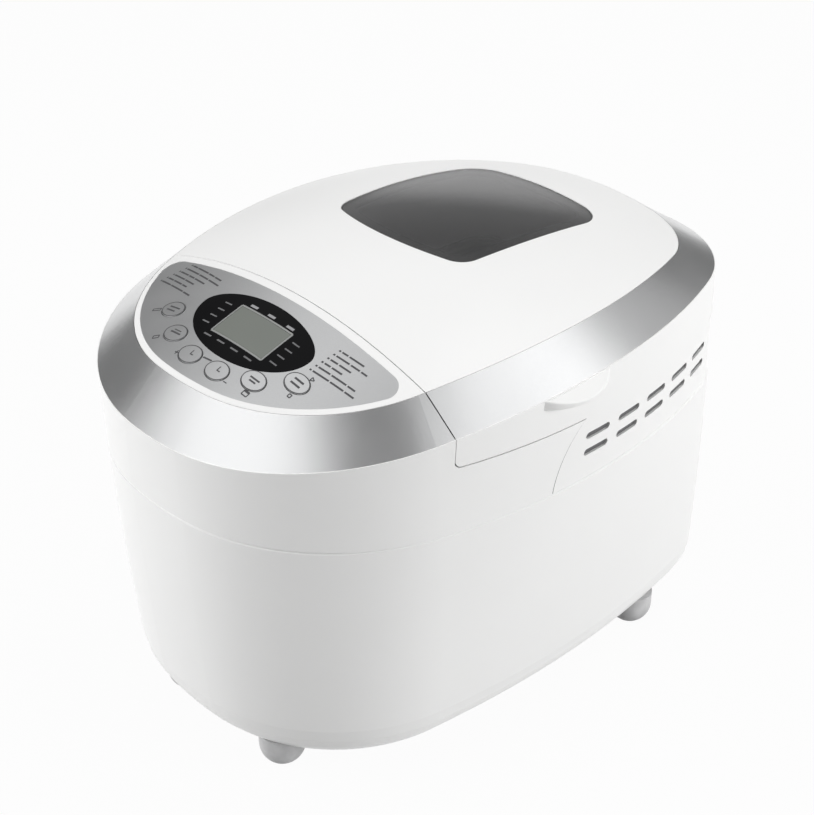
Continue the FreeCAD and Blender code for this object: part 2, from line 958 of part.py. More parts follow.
window_middle = Vector(0, (size("window_front") + size("window_rear")) / 2)
window_outline = Outline(
    size("window_half_width"),
    size("window_front") - window_middle.y,
    size("window_rear") - window_middle.y,
    size("window_side_radius"),
    size("window_front_radius"),
    size("window_rear_radius"),
    (size("window_front_corner"), size("window_rear_corner")),
)
crown_column = top_outline.column(size("band_inset") + size("panel_gap"))


def make_lid_top():
    sheet_shape = crown_slab(0, deck).common(crown_column).common(behind(lid_start))
    return sheet_shape.cut(window_outline.column(-size("panel_gap"), window_middle))


def finger_tab():
    """Lip below the band on the right: it follows the band's edge, with a thin rim and a top that slopes outward."""
    middle = size("tab_middle")
    radius = size("tab_radius")
    start = middle - radius
    climb = band_edge(middle + radius) - band_edge(start)
    top = band_edge(start) - size("band_reveal")
    low = top - size("tab_drop")
    shoulder = size("body_half_width")
    tip = shoulder + size("tab_reach")
    axis = tip - radius
    profile = [
        Vector(axis, start, low),
        Vector(tip, start, low),
        Vector(tip, start, low + size("tab_rim")),
        Vector(shoulder, start, top),
        Vector(axis, start, top),
        Vector(axis, start, low),
    ]
    wedge = Part.Face(Part.makePolygon(profile)).extrude(Vector(0, 2 * radius, climb))
    outside = region(Vector(size("base_half_width"), -FAR, 0), Vector(FAR, FAR, FAR))
    lip = wedge.common(upright(radius, axis, middle, low, top + climb)).common(outside)
    rim = [edge for edge in lip.Edges if edge.BoundBox.XMax > tip - size("tab_rounding")]
    return lip.makeFillet(size("tab_rounding"), rim).cut(wall_core)


def make_lid_skirt():
    low = split + size("lid_gap")
    start_level = split - wall
    skirt = ring([wall_rail(start_level), band_rail(), band_rail(wall), wall_rail(start_level, wall)])
    end_wall = interior(start_level).common(region(Vector(-FAR, -FAR, 0), Vector(FAR, lid_start + wall, FAR)))
    skirt = skirt.fuse(end_wall).common(lid_space(lid_start, low, size("lid_corner"))).cut(lid_band_shape)
    lug = size("hinge_lug_length")
    near = size("hinge_length") / 2 + size("panel_gap")
    additions = [finger_tab()]
    for middle in hinge_middles():
        for start in (middle - near - lug, middle + near):
            additions.append(hinge_knuckle(start, lug, low, low + size("hinge_lug_height")))
    return skirt.multiFuse(additions).cut(pin_hole(size("shaft_play")))


liner_bottom = split + size("liner_lift")
liner_top = liner_bottom + size("liner_thickness")
lid_top_shape = make_lid_top()
lid_skirt_shape = make_lid_skirt()
keep(solid("lid_crown", lid_top_shape), "lid_top")
keep(solid("lid_sides", lid_skirt_shape), "lid_skirt")

liner_sheet = Part.makeLoft([wall_rail(liner_bottom, wall / 2), wall_rail(liner_top, wall / 2)], True, True)
liner_sheet = liner_sheet.common(behind(lid_start + wall / 2)).cut(lid_skirt_shape)
liner_blank = solid("liner_blank", liner_sheet)
glass_y = "chamber_back"
liner_level = "split_height + liner_lift"
liner_window = rounded_block(
    "liner_window",
    "inner_glass_length - 2 * inner_glass_land",
    "inner_glass_width - 2 * inner_glass_land",
    "4 * liner_thickness",
    "inner_glass_corner - inner_glass_land",
    "0",
    glass_y,
    f"{liner_level} - liner_thickness",
)
keep(cut("liner_cut", liner_blank, liner_window), "lid_liner")
inner_glass = rounded_block(
    "inner_glass_pane",
    "inner_glass_length",
    "inner_glass_width",
    "inner_glass_thickness",
    "inner_glass_corner",
    "0",
    glass_y,
    f"{liner_level} + liner_thickness",
)
keep(inner_glass, "inner_glass")

pane = crown_slab(size("window_sink"), deck - size("window_sink"))
keep(solid("window_pane", pane.common(window_outline.column(0, window_middle))), "window_glass")
frame_sheet = crown_slab(deck, size("frame_thickness"))
frame_ring = window_outline.column(-size("frame_land"), window_middle)
frame_ring = frame_ring.cut(window_outline.column(size("frame_land"), window_middle))
keep(solid("window_surround", frame_sheet.common(frame_ring)), "window_frame")


# Control panel: deck, overlay, display and six sliding buttons

panel_front = top_outline.column(size("panel_inset")).common(before(size("panel_rear")))
panel_edges = [
    edge
    for edge in panel_front.Edges
    if abs(edge.CenterOfMass.y - size("panel_rear")) < 0.1 and edge.BoundBox.ZLength > FAR / 2
]
panel_column = panel_front.makeFillet(size("panel_corner"), panel_edges)


def display_column(grow=0.0):
    """Egg-shaped column: a deep half oval in front and a flat one behind."""
    middle = Vector(size("display_middle"), size("display_back"))
    half_width = size("display_half_width") + grow
    edges = []
    for reach, start in ((size("display_rear_reach"), 0), (size("display_front_reach"), math.pi)):
        oval = Part.Ellipse(middle, half_width, reach + grow)
        edges.append(Part.ArcOfEllipse(oval, start, start + math.pi).toShape())
    return Part.Face(Part.Wire(edges)).extrude(Vector(0, 0, FAR))


def lcd_column(grow):
    half_x = size("lcd_length") / 2 + grow
    half_y = size("lcd_width") / 2 + grow
    x = size("lcd_middle")
    y = size("lcd_back")
    return region(Vector(x - half_x, y - half_y, 0), Vector(x + half_x, y + half_y, FAR))


def button_places():
    """Button middles along an arc in front of the display."""
    for index, name in enumerate(BUTTON_NAMES):
        angle = math.radians(size("button_step") * (index - (len(BUTTON_NAMES) - 1) / 2))
        x = size("button_middle") + size("button_arc_radius") * math.sin(angle)
        y = size("button_arc_back") - size("button_arc_radius") * math.cos(angle)
        yield name, x, y


def board_height(y, above=0.0):
    """Height of the tilted control board's upper face."""
    back = size("board_back")
    slope = math.tan(math.radians(size("board_tilt")))
    return crown(0, back) - size("board_depth") + (y - back) * slope + above


def button_column(x, y, grow=0.0):
    return pill(x, y, size("button_length"), size("button_width"), grow)


def button_holes():
    return [button_column(x, y, size("panel_gap")) for _, x, y in button_places()]


def board_space(bottom, top):
    """Tilted space above the control board, between two distances from its upper face."""
    half_x = size("board_length") / 2
    half_y = size("board_width") / 2
    box = region(Vector(-half_x, -half_y, bottom), Vector(half_x, half_y, top))
    middle = Vector(size("button_middle"), size("board_back"), board_height(size("board_back")))
    box.Placement = Placement(middle, Rotation(Vector(1, 0, 0), size("board_tilt")))
    return box


def board_post_places():
    side = size("board_post_side")
    reach = size("board_post_reach")
    return [Vector(side * sign_x, reach * sign_y, 0) for sign_x in SIDES for sign_y in SIDES]


def board_posts():
    """Posts under the deck that carry the control board."""
    middle = Vector(size("button_middle"), size("board_back"), board_height(size("board_back")))
    posts = []
    for spot in board_post_places():
        post = Part.makeCylinder(size("post_radius"), FAR / 4, spot)
        post.Placement = Placement(middle, Rotation(Vector(1, 0, 0), size("board_tilt")))
        posts.append(post)
    return posts


def make_control_deck():
    sheet_shape = crown_slab(0, deck).common(crown_column).common(before(deck_end))
    slice_space = region(Vector(-FAR, deck_end - wall, 0), Vector(FAR, deck_end, FAR))
    bulkhead = interior(size("chamber_top")).common(slice_space).cut([upper_shape, front_band_shape])
    posts = [post.common(crown_slab(deck / 2, FAR / 4)) for post in board_posts()]
    shape = sheet_shape.multiFuse([bulkhead] + posts)
    recess = crown_slab(-deck, deck + size("panel_recess")).common(panel_column)
    return shape.cut([recess, lcd_column(-size("lcd_rim")), *button_holes()])


def make_overlay():
    sheet_shape = crown_slab(size("panel_recess") - size("panel_thickness"), size("panel_thickness"))
    return sheet_shape.common(panel_column).cut([display_column(size("panel_gap") / 2), *button_holes()])


def make_button(x, y):
    """Key with a flange under the deck and a stem that reaches its switch."""
    rise = size("button_rise")
    gap = size("panel_gap")
    cap = crown_slab(-rise, rise + deck + gap + size("button_flange")).common(button_column(x, y))
    flange = crown_slab(deck + gap, size("button_flange")).common(button_column(x, y, size("button_flange")))
    stem_low = board_height(y, size("switch_height") + size("switch_play") + size("button_travel"))
    stem = upright(size("button_stem_radius"), x, y, stem_low, crown(x, y) - deck)
    return cap.multiFuse([flange, stem])


keep(solid("deck_shell", make_control_deck()), "control_deck")
keep(solid("overlay_sheet", make_overlay()), "control_overlay")
display_sheet = crown_slab(size("panel_recess") - size("panel_thickness"), size("panel_thickness"))
display_shape = display_sheet.common(display_column()).cut(lcd_column(0))
keep(solid("display_sheet", display_shape), "display_panel")
keep(solid("lcd_sheet", display_sheet.common(lcd_column(-size("panel_gap") / 2))), "lcd_glass")
for name, x, y in button_places():
    keep(solid(name + "_key", make_button(x, y)), name)

keep(solid("control_board_sheet", board_space(-size("board_thickness"), 0)), "control_board")
switches = []
for name, x, y in button_places():
    half = size("switch_size") / 2
    square = region(Vector(x - half, y - half, 0), Vector(x + half, y + half, FAR))
    switches.append(solid(name + "_switch", square.common(board_space(0, size("switch_height")))))
keep(group("switch_group", switches), "button_switches")
module = lcd_column(size("lcd_rim")).common(board_space(0, FAR / 10))
module = module.common(crown_slab(deck + size("panel_gap"), FAR / 4))
keep(solid("lcd_block", module), "lcd_module")


# Chassis plate, posts, motor and belt drive

chassis_top = "chassis_level + chassis_thickness"
chassis_screws = []
posts = []
for side, mark in zip(SIDES, ("left", "right")):
    for end in ("front", "rear"):
        across = f"{side} * post_side"
        along = f"{end}_post_back"
        flip = Rotation(Vector(1, 0, 0), 180)
        chassis_screws.append(screw(f"chassis_screw_{mark}_{end}", across, along, chassis_top, flip))
        post_height = "chassis_level - underside_height - shell_wall - base_plate_thickness"
        post_level = "underside_height + shell_wall + base_plate_thickness"
        post = rod(f"post_{mark}_{end}", "chassis_post_radius", post_height, across, along, post_level)
        posts.append(cut(f"post_drilled_{mark}_{end}", post, chassis_screws[-1]))
chassis_screw_group = keep(group("chassis_screw_group", chassis_screws), "chassis_screws")
keep(group("post_group", posts), "chassis_posts")

motor_screws = []
for side, mark in zip(SIDES, ("left", "right")):
    across = f"{side} * motor_screw_reach"
    motor_screws.append(screw(f"motor_screw_{mark}", across, "motor_back", "chassis_level"))
motor_screw_group = keep(group("motor_screw_group", motor_screws), "motor_screws")

chassis_blank = rounded_block(
    "chassis_blank",
    "chassis_length",
    "chassis_width",
    "chassis_thickness",
    "chassis_corner",
    "0",
    "chassis_back",
    "chassis_level",
)
hole_level = "chassis_level - drill_length / 2"
bearing_hole = rod("bearing_hole", "bearing_radius", "drill_length", "0", "chamber_back", hole_level)
motor_hole = rod("motor_hole", "motor_boss_radius", "drill_length", "0", "motor_back", hole_level)
chassis_holes = [bearing_hole, motor_hole, chassis_screw_group, motor_screw_group]
keep(cut("chassis_drilled", chassis_blank, *chassis_holes), "chassis_plate")

motor_profile = (
    ("shaft_radius + shaft_play", "0"),
    ("motor_radius", "0"),
    ("motor_radius", "motor_height"),
    ("motor_boss_radius", "motor_height"),
    ("motor_boss_radius", "motor_height + motor_boss_height"),
    ("shaft_radius + shaft_play", "motor_height + motor_boss_height"),
)
motor_blank = turned("motor_blank", motor_profile, "0", "motor_back", chassis_top)
keep(cut("motor_drilled", motor_blank, motor_screw_group), "motor_body")
motor_end = f"{chassis_top} + motor_height + motor_boss_height"
motor_shaft_length = f"{motor_end} + shaft_end - pulley_level"
keep(rod("motor_rod", "shaft_radius", motor_shaft_length, "0", "motor_back", "pulley_level"), "motor_shaft")


def pulley(name, radius, hub_radius, rim, y):
    """Belt pulley with two lips, a web and a hub."""
    lip_radius = f"{radius} + pulley_lip"
    web_low = "(pulley_width - pulley_web) / 2"
    web_high = "(pulley_width + pulley_web) / 2"
    rim_inner = f"{radius} - {rim}"
    profile = (
        ("shaft_radius", "0"),
        (hub_radius, "0"),
        (hub_radius, web_low),
        (rim_inner, web_low),
        (rim_inner, "0"),
        (lip_radius, "0"),
        (lip_radius, "pulley_lip_width"),
        (radius, "pulley_lip_width"),
        (radius, "pulley_width - pulley_lip_width"),
        (lip_radius, "pulley_width - pulley_lip_width"),
        (lip_radius, "pulley_width"),
        (rim_inner, "pulley_width"),
        (rim_inner, web_high),
        (hub_radius, web_high),
        (hub_radius, "pulley_width"),
        ("shaft_radius", "pulley_width"),
    )
    return turned(name, profile, "0", y, "pulley_level")


large_wheel = pulley("large_wheel", "large_pulley_radius", "pulley_hub_radius", "pulley_rim", "chamber_back")
keep(large_wheel, "large_pulley")
small_profile = (
    ("shaft_radius", "0"),
    ("small_pulley_radius + pulley_lip", "0"),
    ("small_pulley_radius + pulley_lip", "pulley_lip_width"),
    ("small_pulley_radius", "pulley_lip_width"),
    ("small_pulley_radius", "pulley_width - pulley_lip_width"),
    ("small_pulley_radius + pulley_lip", "pulley_width - pulley_lip_width"),
    ("small_pulley_radius + pulley_lip", "pulley_width"),
    ("shaft_radius", "pulley_width"),
)
keep(turned("small_pulley_wheel", small_profile, "0", "motor_back", "pulley_level"), "small_pulley")


def belt_face(offset):
    """Face inside an open belt line round both pulleys."""
    front = Vector(0, size("motor_back"))
    rear = Vector(0, size("chamber_back"))
    front_radius = size("small_pulley_radius") + offset
    rear_radius = size("large_pulley_radius") + offset
    lean = math.asin((rear_radius - front_radius) / (rear - front).Length)
    right = Vector(math.cos(lean), -math.sin(lean))
    left = Vector(-right.x, right.y)
    rear_right = rear + right * rear_radius
    rear_left = rear + left * rear_radius
    front_left = front + left * front_radius
    front_right = front + right * front_radius
    edges = [
        Part.Arc(rear_right, rear + Vector(0, rear_radius), rear_left).toShape(),
        Part.makeLine(rear_left, front_left),
        Part.Arc(front_left, front - Vector(0, front_radius), front_right).toShape(),
        Part.makeLine(front_right, rear_right),
    ]
    return Part.Face(Part.Wire(edges))


belt_level = size("pulley_level") + (size("pulley_width") - size("belt_width")) / 2
belt_section = belt_face(size("belt_play") + size("belt_thickness")).cut(belt_face(size("belt_play")))
belt_section.translate(Vector(0, 0, belt_level))
keep(solid("belt_loop", belt_section.extrude(Vector(0, 0, size("belt_width")))), "drive_belt")

bearing_low = "chassis_level - bearing_drop"
bearing_height = "chamber_level - chassis_level + bearing_drop - bearing_gap"
bearing_profile = (
    ("bush_radius", "0"),
    ("bearing_radius", "0"),
    ("bearing_radius", "bearing_drop + chassis_thickness"),
    ("bearing_flange_radius", "bearing_drop + chassis_thickness"),
    ("bearing_flange_radius", "bearing_drop + chassis_thickness + bearing_flange_thickness"),
    ("bearing_radius", "bearing_drop + chassis_thickness + bearing_flange_thickness"),
    ("bearing_radius", bearing_height),
    ("bush_radius", bearing_height),
)
keep(turned("bearing_block", bearing_profile, "0", "chamber_back", bearing_low), "bearing_housing")
bushes = []
shaft_bore = "shaft_radius + shaft_play"
for mark, level in (("lower", bearing_low), ("upper", "chamber_level - bearing_gap - bush_length")):
    bush_spot = ("0", "chamber_back", level)
    bushes.append(sleeve(f"bush_{mark}", "bush_radius", shaft_bore, "bush_length", *bush_spot))
keep(group("bush_group", bushes), "bearing_bushes")

dog_top = "dog_level + dog_height"
drive_length = f"{dog_top} - pulley_level"
keep(rod("drive_rod", "shaft_radius", drive_length, "0", "chamber_back", "pulley_level"), "drive_shaft")
dog_hub = rod("dog_hub", "dog_radius", "dog_height", "0", "chamber_back", "dog_level")
dog_wings = block("dog_wings", "2 * dog_reach", "dog_width", "dog_height", "0", "chamber_back", "dog_level")
dog_bore = rod("dog_bore", "shaft_radius", "3 * dog_height", "0", "chamber_back", "dog_level - dog_height")
keep(cut("dog_bored", fuse("dog_form", dog_hub, dog_wings), dog_bore), "drive_dog")


# Baking chamber, its deck, brackets and heater

chamber_height = "chamber_top - chamber_level"
chamber_outer = rounded_block(
    "chamber_outer",
    "chamber_length",
    "chamber_width",
    chamber_height,
    "chamber_corner",
    "0",
    "chamber_back",
    "chamber_level",
)
chamber_rim = rounded_block(
    "chamber_rim",
    "chamber_length + 2 * chamber_flange",
    "chamber_width + 2 * chamber_flange",
    "chamber_wall",
    "chamber_corner + chamber_flange",
    "0",
    "chamber_back",
    "chamber_top",
)
chamber_inner = rounded_block(
    "chamber_inner",
    "chamber_length - 2 * chamber_wall",
    "chamber_width - 2 * chamber_wall",
    chamber_height,
    "chamber_corner - chamber_wall",
    "0",
    "chamber_back",
    "chamber_level + chamber_wall",
)
floor_start = "chamber_level - drill_length / 2"
chamber_hole = rod("chamber_hole", "chamber_hole_radius", "drill_length", "0", "chamber_back", floor_start)
front_wall = "chamber_back - chamber_width / 2"
drill_start = f"{front_wall} - drill_length / 2"
insulator_start = f"{front_wall} + insulator_reach - insulator_length"
insulator_step = "insulator_length - insulator_reach"
insulator_profile = (
    ("heater_radius", "0"),
    ("insulator_flange_radius", "0"),
    ("insulator_flange_radius", insulator_step),
    ("insulator_radius", insulator_step),
    ("insulator_radius", "insulator_length"),
    ("heater_radius", "insulator_length"),
)
wall_holes = []
insulators = []
for side, mark in zip(SIDES, ("left", "right")):
    lead = f"{side} * heater_lead_side"
    hole_spot = (lead, drill_start, "heater_level", TO_Y)
    wall_holes.append(rod(f"insulator_hole_{mark}", "insulator_radius", "drill_length", *hole_spot))
    collar_spot = (lead, insulator_start, "heater_level", TO_Y)
    insulators.append(turned(f"insulator_{mark}", insulator_profile, *collar_spot))
keep(group("insulator_group", insulators), "heater_insulators")
sensor_spot = ("sensor_side", drill_start, "sensor_level", TO_Y)
wall_holes.append(rod("sensor_hole", "sensor_radius", "drill_length", *sensor_spot))
chamber_form = fuse("chamber_form", chamber_outer, chamber_rim)
keep(cut("chamber_cut", chamber_form, chamber_inner, chamber_hole, *wall_holes), "baking_chamber")

probe_spot = ("sensor_side", f"{front_wall} - sensor_length / 2", "sensor_level", TO_Y)
sensor_probe = rod("sensor_probe", "sensor_radius", "sensor_length", *probe_spot)
flange_spot = ("sensor_side", f"{front_wall} - sensor_flange_thickness", "sensor_level", TO_Y)
sensor_flange = rod("sensor_flange", "sensor_flange_radius", "sensor_flange_thickness", *flange_spot)
keep(fuse("sensor_form", sensor_probe, sensor_flange), "temperature_sensor")
fuse_spot = ("-sensor_side", f"{front_wall} - fuse_radius / 2", "fuse_level - fuse_radius")
fuse_base = block("fuse_base", "fuse_length", "fuse_radius", "2 * fuse_radius", *fuse_spot)
can_spot = ("-sensor_side - fuse_length / 2", f"{front_wall} - fuse_radius", "fuse_level", TO_X)
fuse_can = rod("fuse_can", "fuse_radius", "fuse_length", *can_spot)
keep(fuse("fuse_form", fuse_base, fuse_can), "thermal_fuse")

deck_low = size("chamber_top") - size("deck_plate_thickness")
deck_inset = 0.75 * wall
deck_rails = [wall_rail(deck_low, deck_inset), wall_rail(size("chamber_top"), deck_inset)]
deck_sheet = Part.makeLoft(deck_rails, True, True)
deck_sheet = deck_sheet.common(behind(deck_end - wall)).cut(upper_shape)
deck_opening = rounded_block(
    "deck_opening",
    "chamber_length",
    "chamber_width",
    "4 * deck_plate_thickness",
    "chamber_corner",
    "0",
    "chamber_back",
    "chamber_top - 2 * deck_plate_thickness",
)
keep(cut("deck_plate_cut", solid("deck_plate", deck_sheet), deck_opening), "chamber_deck")

brackets = []
for side, mark in zip(SIDES, ("left", "right")):
    for end_side, end in zip(SIDES, ("front", "rear")):
        brackets.append(
            rod(
                f"bracket_{mark}_{end}",
                "bracket_radius",
                "chamber_level - chassis_level - chassis_thickness",
                f"{side} * bracket_side",
                f"chamber_back + {end_side} * bracket_reach",
                chassis_top,
            )
        )
keep(group("bracket_group", brackets), "chamber_brackets")


def bent_wire(corners, bends):
    """Straight runs joined by tangent arcs, one for each inner corner."""
    edges = []
    last = corners[0]
    for before_corner, corner, after_corner, bend in zip(corners, corners[1:], corners[2:], bends):
        arriving = (corner - before_corner).normalize()
        leaving = (after_corner - corner).normalize()
        turn = arriving.getAngle(leaving)
        trim = bend * math.tan(turn / 2)
        start = corner - arriving * trim
        end = corner + leaving * trim
        inward = (leaving - arriving).normalize()
        middle = corner + inward * (bend / math.cos(turn / 2) - bend)
        edges.append(Part.makeLine(last, start))
        edges.append(Part.Arc(start, middle, end).toShape())
        last = end
    edges.append(Part.makeLine(last, corners[-1]))
    return Part.Wire(edges)


def bent_rod(corners, bends, radius):
    path = bent_wire(corners, bends)
    start = corners[0]
    section = Part.Wire(Part.makeCircle(radius, start, corners[1] - start))
    return path.makePipeShell([section], True, True)


def make_heater():
    """Tubular loop round the pan's foot with two leads through the front wall."""
    margin = size("heater_margin")
    half_x = size("chamber_length") / 2 - margin
    chamber_front = size("chamber_back") - size("chamber_width") / 2
    front = chamber_front + size("heater_front_margin")
    rear = size("chamber_back") + size("chamber_width") / 2 - margin
    lead = size("heater_lead_side")
    lead_end = chamber_front - size("heater_lead_length")
    lead_bend = size("heater_front_margin") - size("insulator_reach")
    corner_bend = size("chamber_corner") - margin
    corners = [
        (-lead, lead_end),
        (-lead, front),
        (-half_x, front),
        (-half_x, rear),
        (half_x, rear),
        (half_x, front),
        (lead, front),
        (lead, lead_end),
    ]
    level = size("heater_level")
    path = [Vector(x, y, level) for x, y in corners]
    bends = [lead_bend, *[corner_bend] * 4, lead_bend]
    return bent_rod(path, bends, size("heater_radius"))


keep(solid("heater_tube", make_heater()), "heating_element")


# Bread pan with handle, seat and kneading drive


def rounded_wire(length, width, radius, level):
    """Rounded rectangle about the pan's middle, at a height."""
    reach = Vector(length / 2 - radius, width / 2 - radius)
    middle = Vector(0, size("chamber_back"), level)
    arcs = []
    for quarter, (x, y) in enumerate(((1, -1), (1, 1), (-1, 1), (-1, -1)), start=-1):
        circle = Part.Circle(middle + Vector(reach.x * x, reach.y * y), Vector(0, 0, 1), radius)
        start = math.pi / 2 * quarter
        arcs.append(Part.ArcOfCircle(circle, start, start + math.pi / 2))
    edges = []
    for arc, following in zip(arcs, arcs[1:] + arcs[:1]):
        edges.append(arc.toShape())
        edges.append(Part.makeLine(arc.EndPoint, following.StartPoint))
    return Part.Wire(edges)


def pan_form(inset, bottom):
    """Tapered block of the pan, drawn in by its wall."""
    top = size("pan_rim")
    corner = size("pan_corner") - inset
    trim = 2 * inset
    low = rounded_wire(size("pan_base_length") - trim, size("pan_base_width") - trim, corner, bottom)
    high = rounded_wire(size("pan_length") - trim, size("pan_width") - trim, corner, top)
    return Part.makeLoft([low, high], True, True)


def make_pan():
    lip = size("pan_rim_width")
    rim_low = size("pan_rim") - size("pan_rim_height")
    rim_length = size("pan_length") + 2 * lip
    rim_width = size("pan_width") + 2 * lip
    rim_face = Part.Face(rounded_wire(rim_length, rim_width, size("pan_corner") + lip, rim_low))
    rim = rim_face.extrude(Vector(0, 0, size("pan_rim_height")))
    floor = size("pan_floor")
    shape = pan_form(0, floor).fuse(rim).cut(pan_form(size("pan_wall"), floor + size("pan_wall")))
    bush_hole = upright(size("pan_bush_radius"), 0, size("chamber_back"), floor - wall, floor + wall * 3)
    return shape.cut(bush_hole)


keep(solid("pan_shell", make_pan()), "bread_pan")
ring_height = "pan_floor - chamber_level - chamber_wall"
ring_level = "chamber_level + chamber_wall"
ring_bore = "pan_ring_radius - pan_ring_wall"
pan_foot = sleeve("pan_foot", "pan_ring_radius", ring_bore, ring_height, "0", "chamber_back", ring_level)
keep(pan_foot, "pan_base_ring")

clips = []
for side, mark in zip(SIDES, ("left", "right")):
    leaf_spot = (f"{side} * (pan_ring_radius + clip_gap + clip_thickness / 2)", "chamber_back", ring_level)
    leaf = block(f"clip_leaf_{mark}", "clip_thickness", "clip_width", "clip_height", *leaf_spot)
    sole_spot = (f"{side} * (pan_ring_radius + clip_gap + clip_foot / 2)", "chamber_back", ring_level)
    sole = block(f"clip_sole_{mark}", "clip_foot", "clip_width", "clip_thickness", *sole_spot)
    clips.append(fuse(f"clip_{mark}", leaf, sole))
keep(group("clip_group", clips), "pan_clips")


def ear_shapes():
    """Plates on the pan's short ends that hold the handle's pivots."""
    shapes = []
    level = size("ear_height")
    bore_radius = size("handle_radius") + size("shaft_play")
    for side in SIDES:
        outer_y = size("chamber_back") + side * (size("pan_width") / 2 + size("ear_thickness"))
        inner_y = size("chamber_back") + side * (size("pan_width") / 2 - size("ear_overlap"))
        low = Vector(-size("ear_width") / 2, min(outer_y, inner_y), level - size("ear_drop"))
        high = Vector(size("ear_width") / 2, max(outer_y, inner_y), size("pan_rim") - size("pan_rim_height"))
        plate = region(low, high).cut(pan_form(0, size("pan_floor")))
        bore = Part.makeCylinder(bore_radius, FAR, Vector(0, -FAR / 2, level), Vector(0, 1, 0))
        shapes.append(plate.cut(bore))
    return shapes


ears = [solid(f"ear_{mark}", shape) for mark, shape in zip(("front", "rear"), ear_shapes())]
keep(group("ear_group", ears), "pan_ears")


def make_handle():
    """Wire bail that lies towards the right-hand side of the pan."""
    level = size("ear_height")
    rest = math.radians(size("handle_rest"))
    middle = size("chamber_back")
    ear_out = size("pan_width") / 2 + size("ear_thickness")
    side_y = size("pan_width") / 2 + size("pan_rim_width") + size("handle_radius") + size("handle_gap")
    tip_y = ear_out - size("pivot_depth")
    far_x = size("handle_reach") * math.cos(rest)
    far_z = level + size("handle_reach") * math.sin(rest)
    corners = [
        Vector(0, middle - tip_y, level),
        Vector(0, middle - side_y, level),
        Vector(far_x, middle - side_y, far_z),
        Vector(far_x, middle + side_y, far_z),
        Vector(0, middle + side_y, level),
        Vector(0, middle + tip_y, level),
    ]
    radius = size("handle_radius")
    legs = bent_rod(corners[1:5], [size("handle_bend")] * 2, radius)
    pivots = []
    for tip, knee in ((corners[0], corners[1]), (corners[5], corners[4])):
        pivots.append(Part.makeCylinder(radius, (knee - tip).Length, tip, knee - tip))
        pivots.append(Part.makeSphere(radius, knee))
    return legs.multiFuse(pivots)


keep(solid("handle_wire", make_handle()), "pan_handle")

bush_profile = (
    ("shaft_radius + shaft_play", "0"),
    ("pan_bush_radius", "0"),
    ("pan_bush_radius", "pan_wall"),
    ("pan_bush_flange", "pan_wall"),
    ("pan_bush_flange", "pan_wall + pan_bush_flange_height"),
    ("pan_bush_radius", "pan_wall + pan_bush_flange_height"),
    ("pan_bush_radius", "pan_bush_height"),
    ("shaft_radius + shaft_play", "pan_bush_height"),
)
keep(turned("pan_bush_turned", bush_profile, "0", "chamber_back", "pan_floor"), "pan_bush")
seal_spot = ("0", "chamber_back", "pan_floor + pan_bush_height")
keep(sleeve("seal_ring", "seal_radius", shaft_bore, "seal_height", *seal_spot), "pan_seal")
coupling_level = "pan_floor - coupling_height - panel_gap"
coupling_spot = ("0", "chamber_back", coupling_level)
keep(rod("pan_rod", "shaft_radius", f"pan_shaft_top - ({coupling_level})", *coupling_spot), "pan_shaft")
coupling_span = "2 * coupling_reach"
coupling_bar = block("coupling_bar", "coupling_width", coupling_span, "coupling_height", *coupling_spot)
coupling_hub = rod("coupling_hub", "coupling_hub_radius", "coupling_height", *coupling_spot)
prong_length = "coupling_reach - prong_inner"
prong_level = f"{coupling_level} - prong_depth"
coupling_pieces = [coupling_bar, coupling_hub]
for side, mark in zip(SIDES, ("front", "rear")):
    prong_y = f"chamber_back + {side} * (coupling_reach + prong_inner) / 2"
    prong = block(f"prong_{mark}", "coupling_width", prong_length, "prong_depth", "0", prong_y, prong_level)
    coupling_pieces.append(prong)
bore_start = f"{coupling_level} - drill_length / 2"
coupling_bore = rod("coupling_bore", "shaft_radius", "drill_length", "0", "chamber_back", bore_start)
keep(cut("coupling_bored", fuse("coupling_form", *coupling_pieces), coupling_bore), "pan_coupling")

paddle_hub = rod("paddle_hub", "paddle_hub_radius", "paddle_hub_height", "0", "chamber_back", "paddle_level")
blade_spot = ("paddle_reach / 2", "chamber_back", "paddle_level")
paddle_blade = block("paddle_blade", "paddle_reach", "paddle_thickness", "paddle_height", *blade_spot)
blade_trim = doc.addObject("Part::Box", "blade_trim")
bind(blade_trim, Length="2 * paddle_reach", Width="3 * paddle_thickness", Height="paddle_height")
blade_trim.Placement = Placement(Vector(), Rotation(Vector(0, 1, 0), size("paddle_slope")))
place(blade_trim, "0", "chamber_back - 1.5 * paddle_thickness", "paddle_level + paddle_height")
bore_low = "paddle_level - paddle_height"
paddle_bore = rod("paddle_bore", "shaft_radius", "3 * paddle_height", "0", "chamber_back", bore_low)
paddle_form = fuse("paddle_form", paddle_hub, paddle_blade)
keep(cut("paddle_trimmed", paddle_form, blade_trim, paddle_bore), "kneading_paddle")


# Power electronics beside the motor

board_spot = ("power_board_side", "power_board_back", chassis_top)
power_board = block("power_sheet", "board_thickness", "power_board_width", "power_board_height", *board_spot)
keep(power_board, "power_board")
transformer_side = "power_board_side + board_thickness / 2 + transformer_depth / 2"
transformer_spot = (transformer_side, "transformer_back", f"{chassis_top} + transformer_lift")
transformer_sizes = ("transformer_depth", "transformer_width", "transformer_height")
keep(block("winding", *transformer_sizes, *transformer_spot), "power_transformer")


# Check every object and write the sub-parts

sheet.clear(SCRATCH_CELL)
doc.recompute()
for item in doc.Objects:
    if "Invalid" in item.State or "Error" in item.State:
        raise RuntimeError(f"{item.Name} failed: {item.State}")
for item in sub_parts:
    if item.Shape.isNull() or not item.Shape.isValid():
        raise RuntimeError(f"{item.Label} has no valid shape")
os.makedirs("parts", exist_ok=True)
for item in sub_parts:
    item.Shape.exportStep(f"parts/{item.Label}.step")
    print(item.Label, len(item.Shape.Solids), round(item.Shape.Volume))
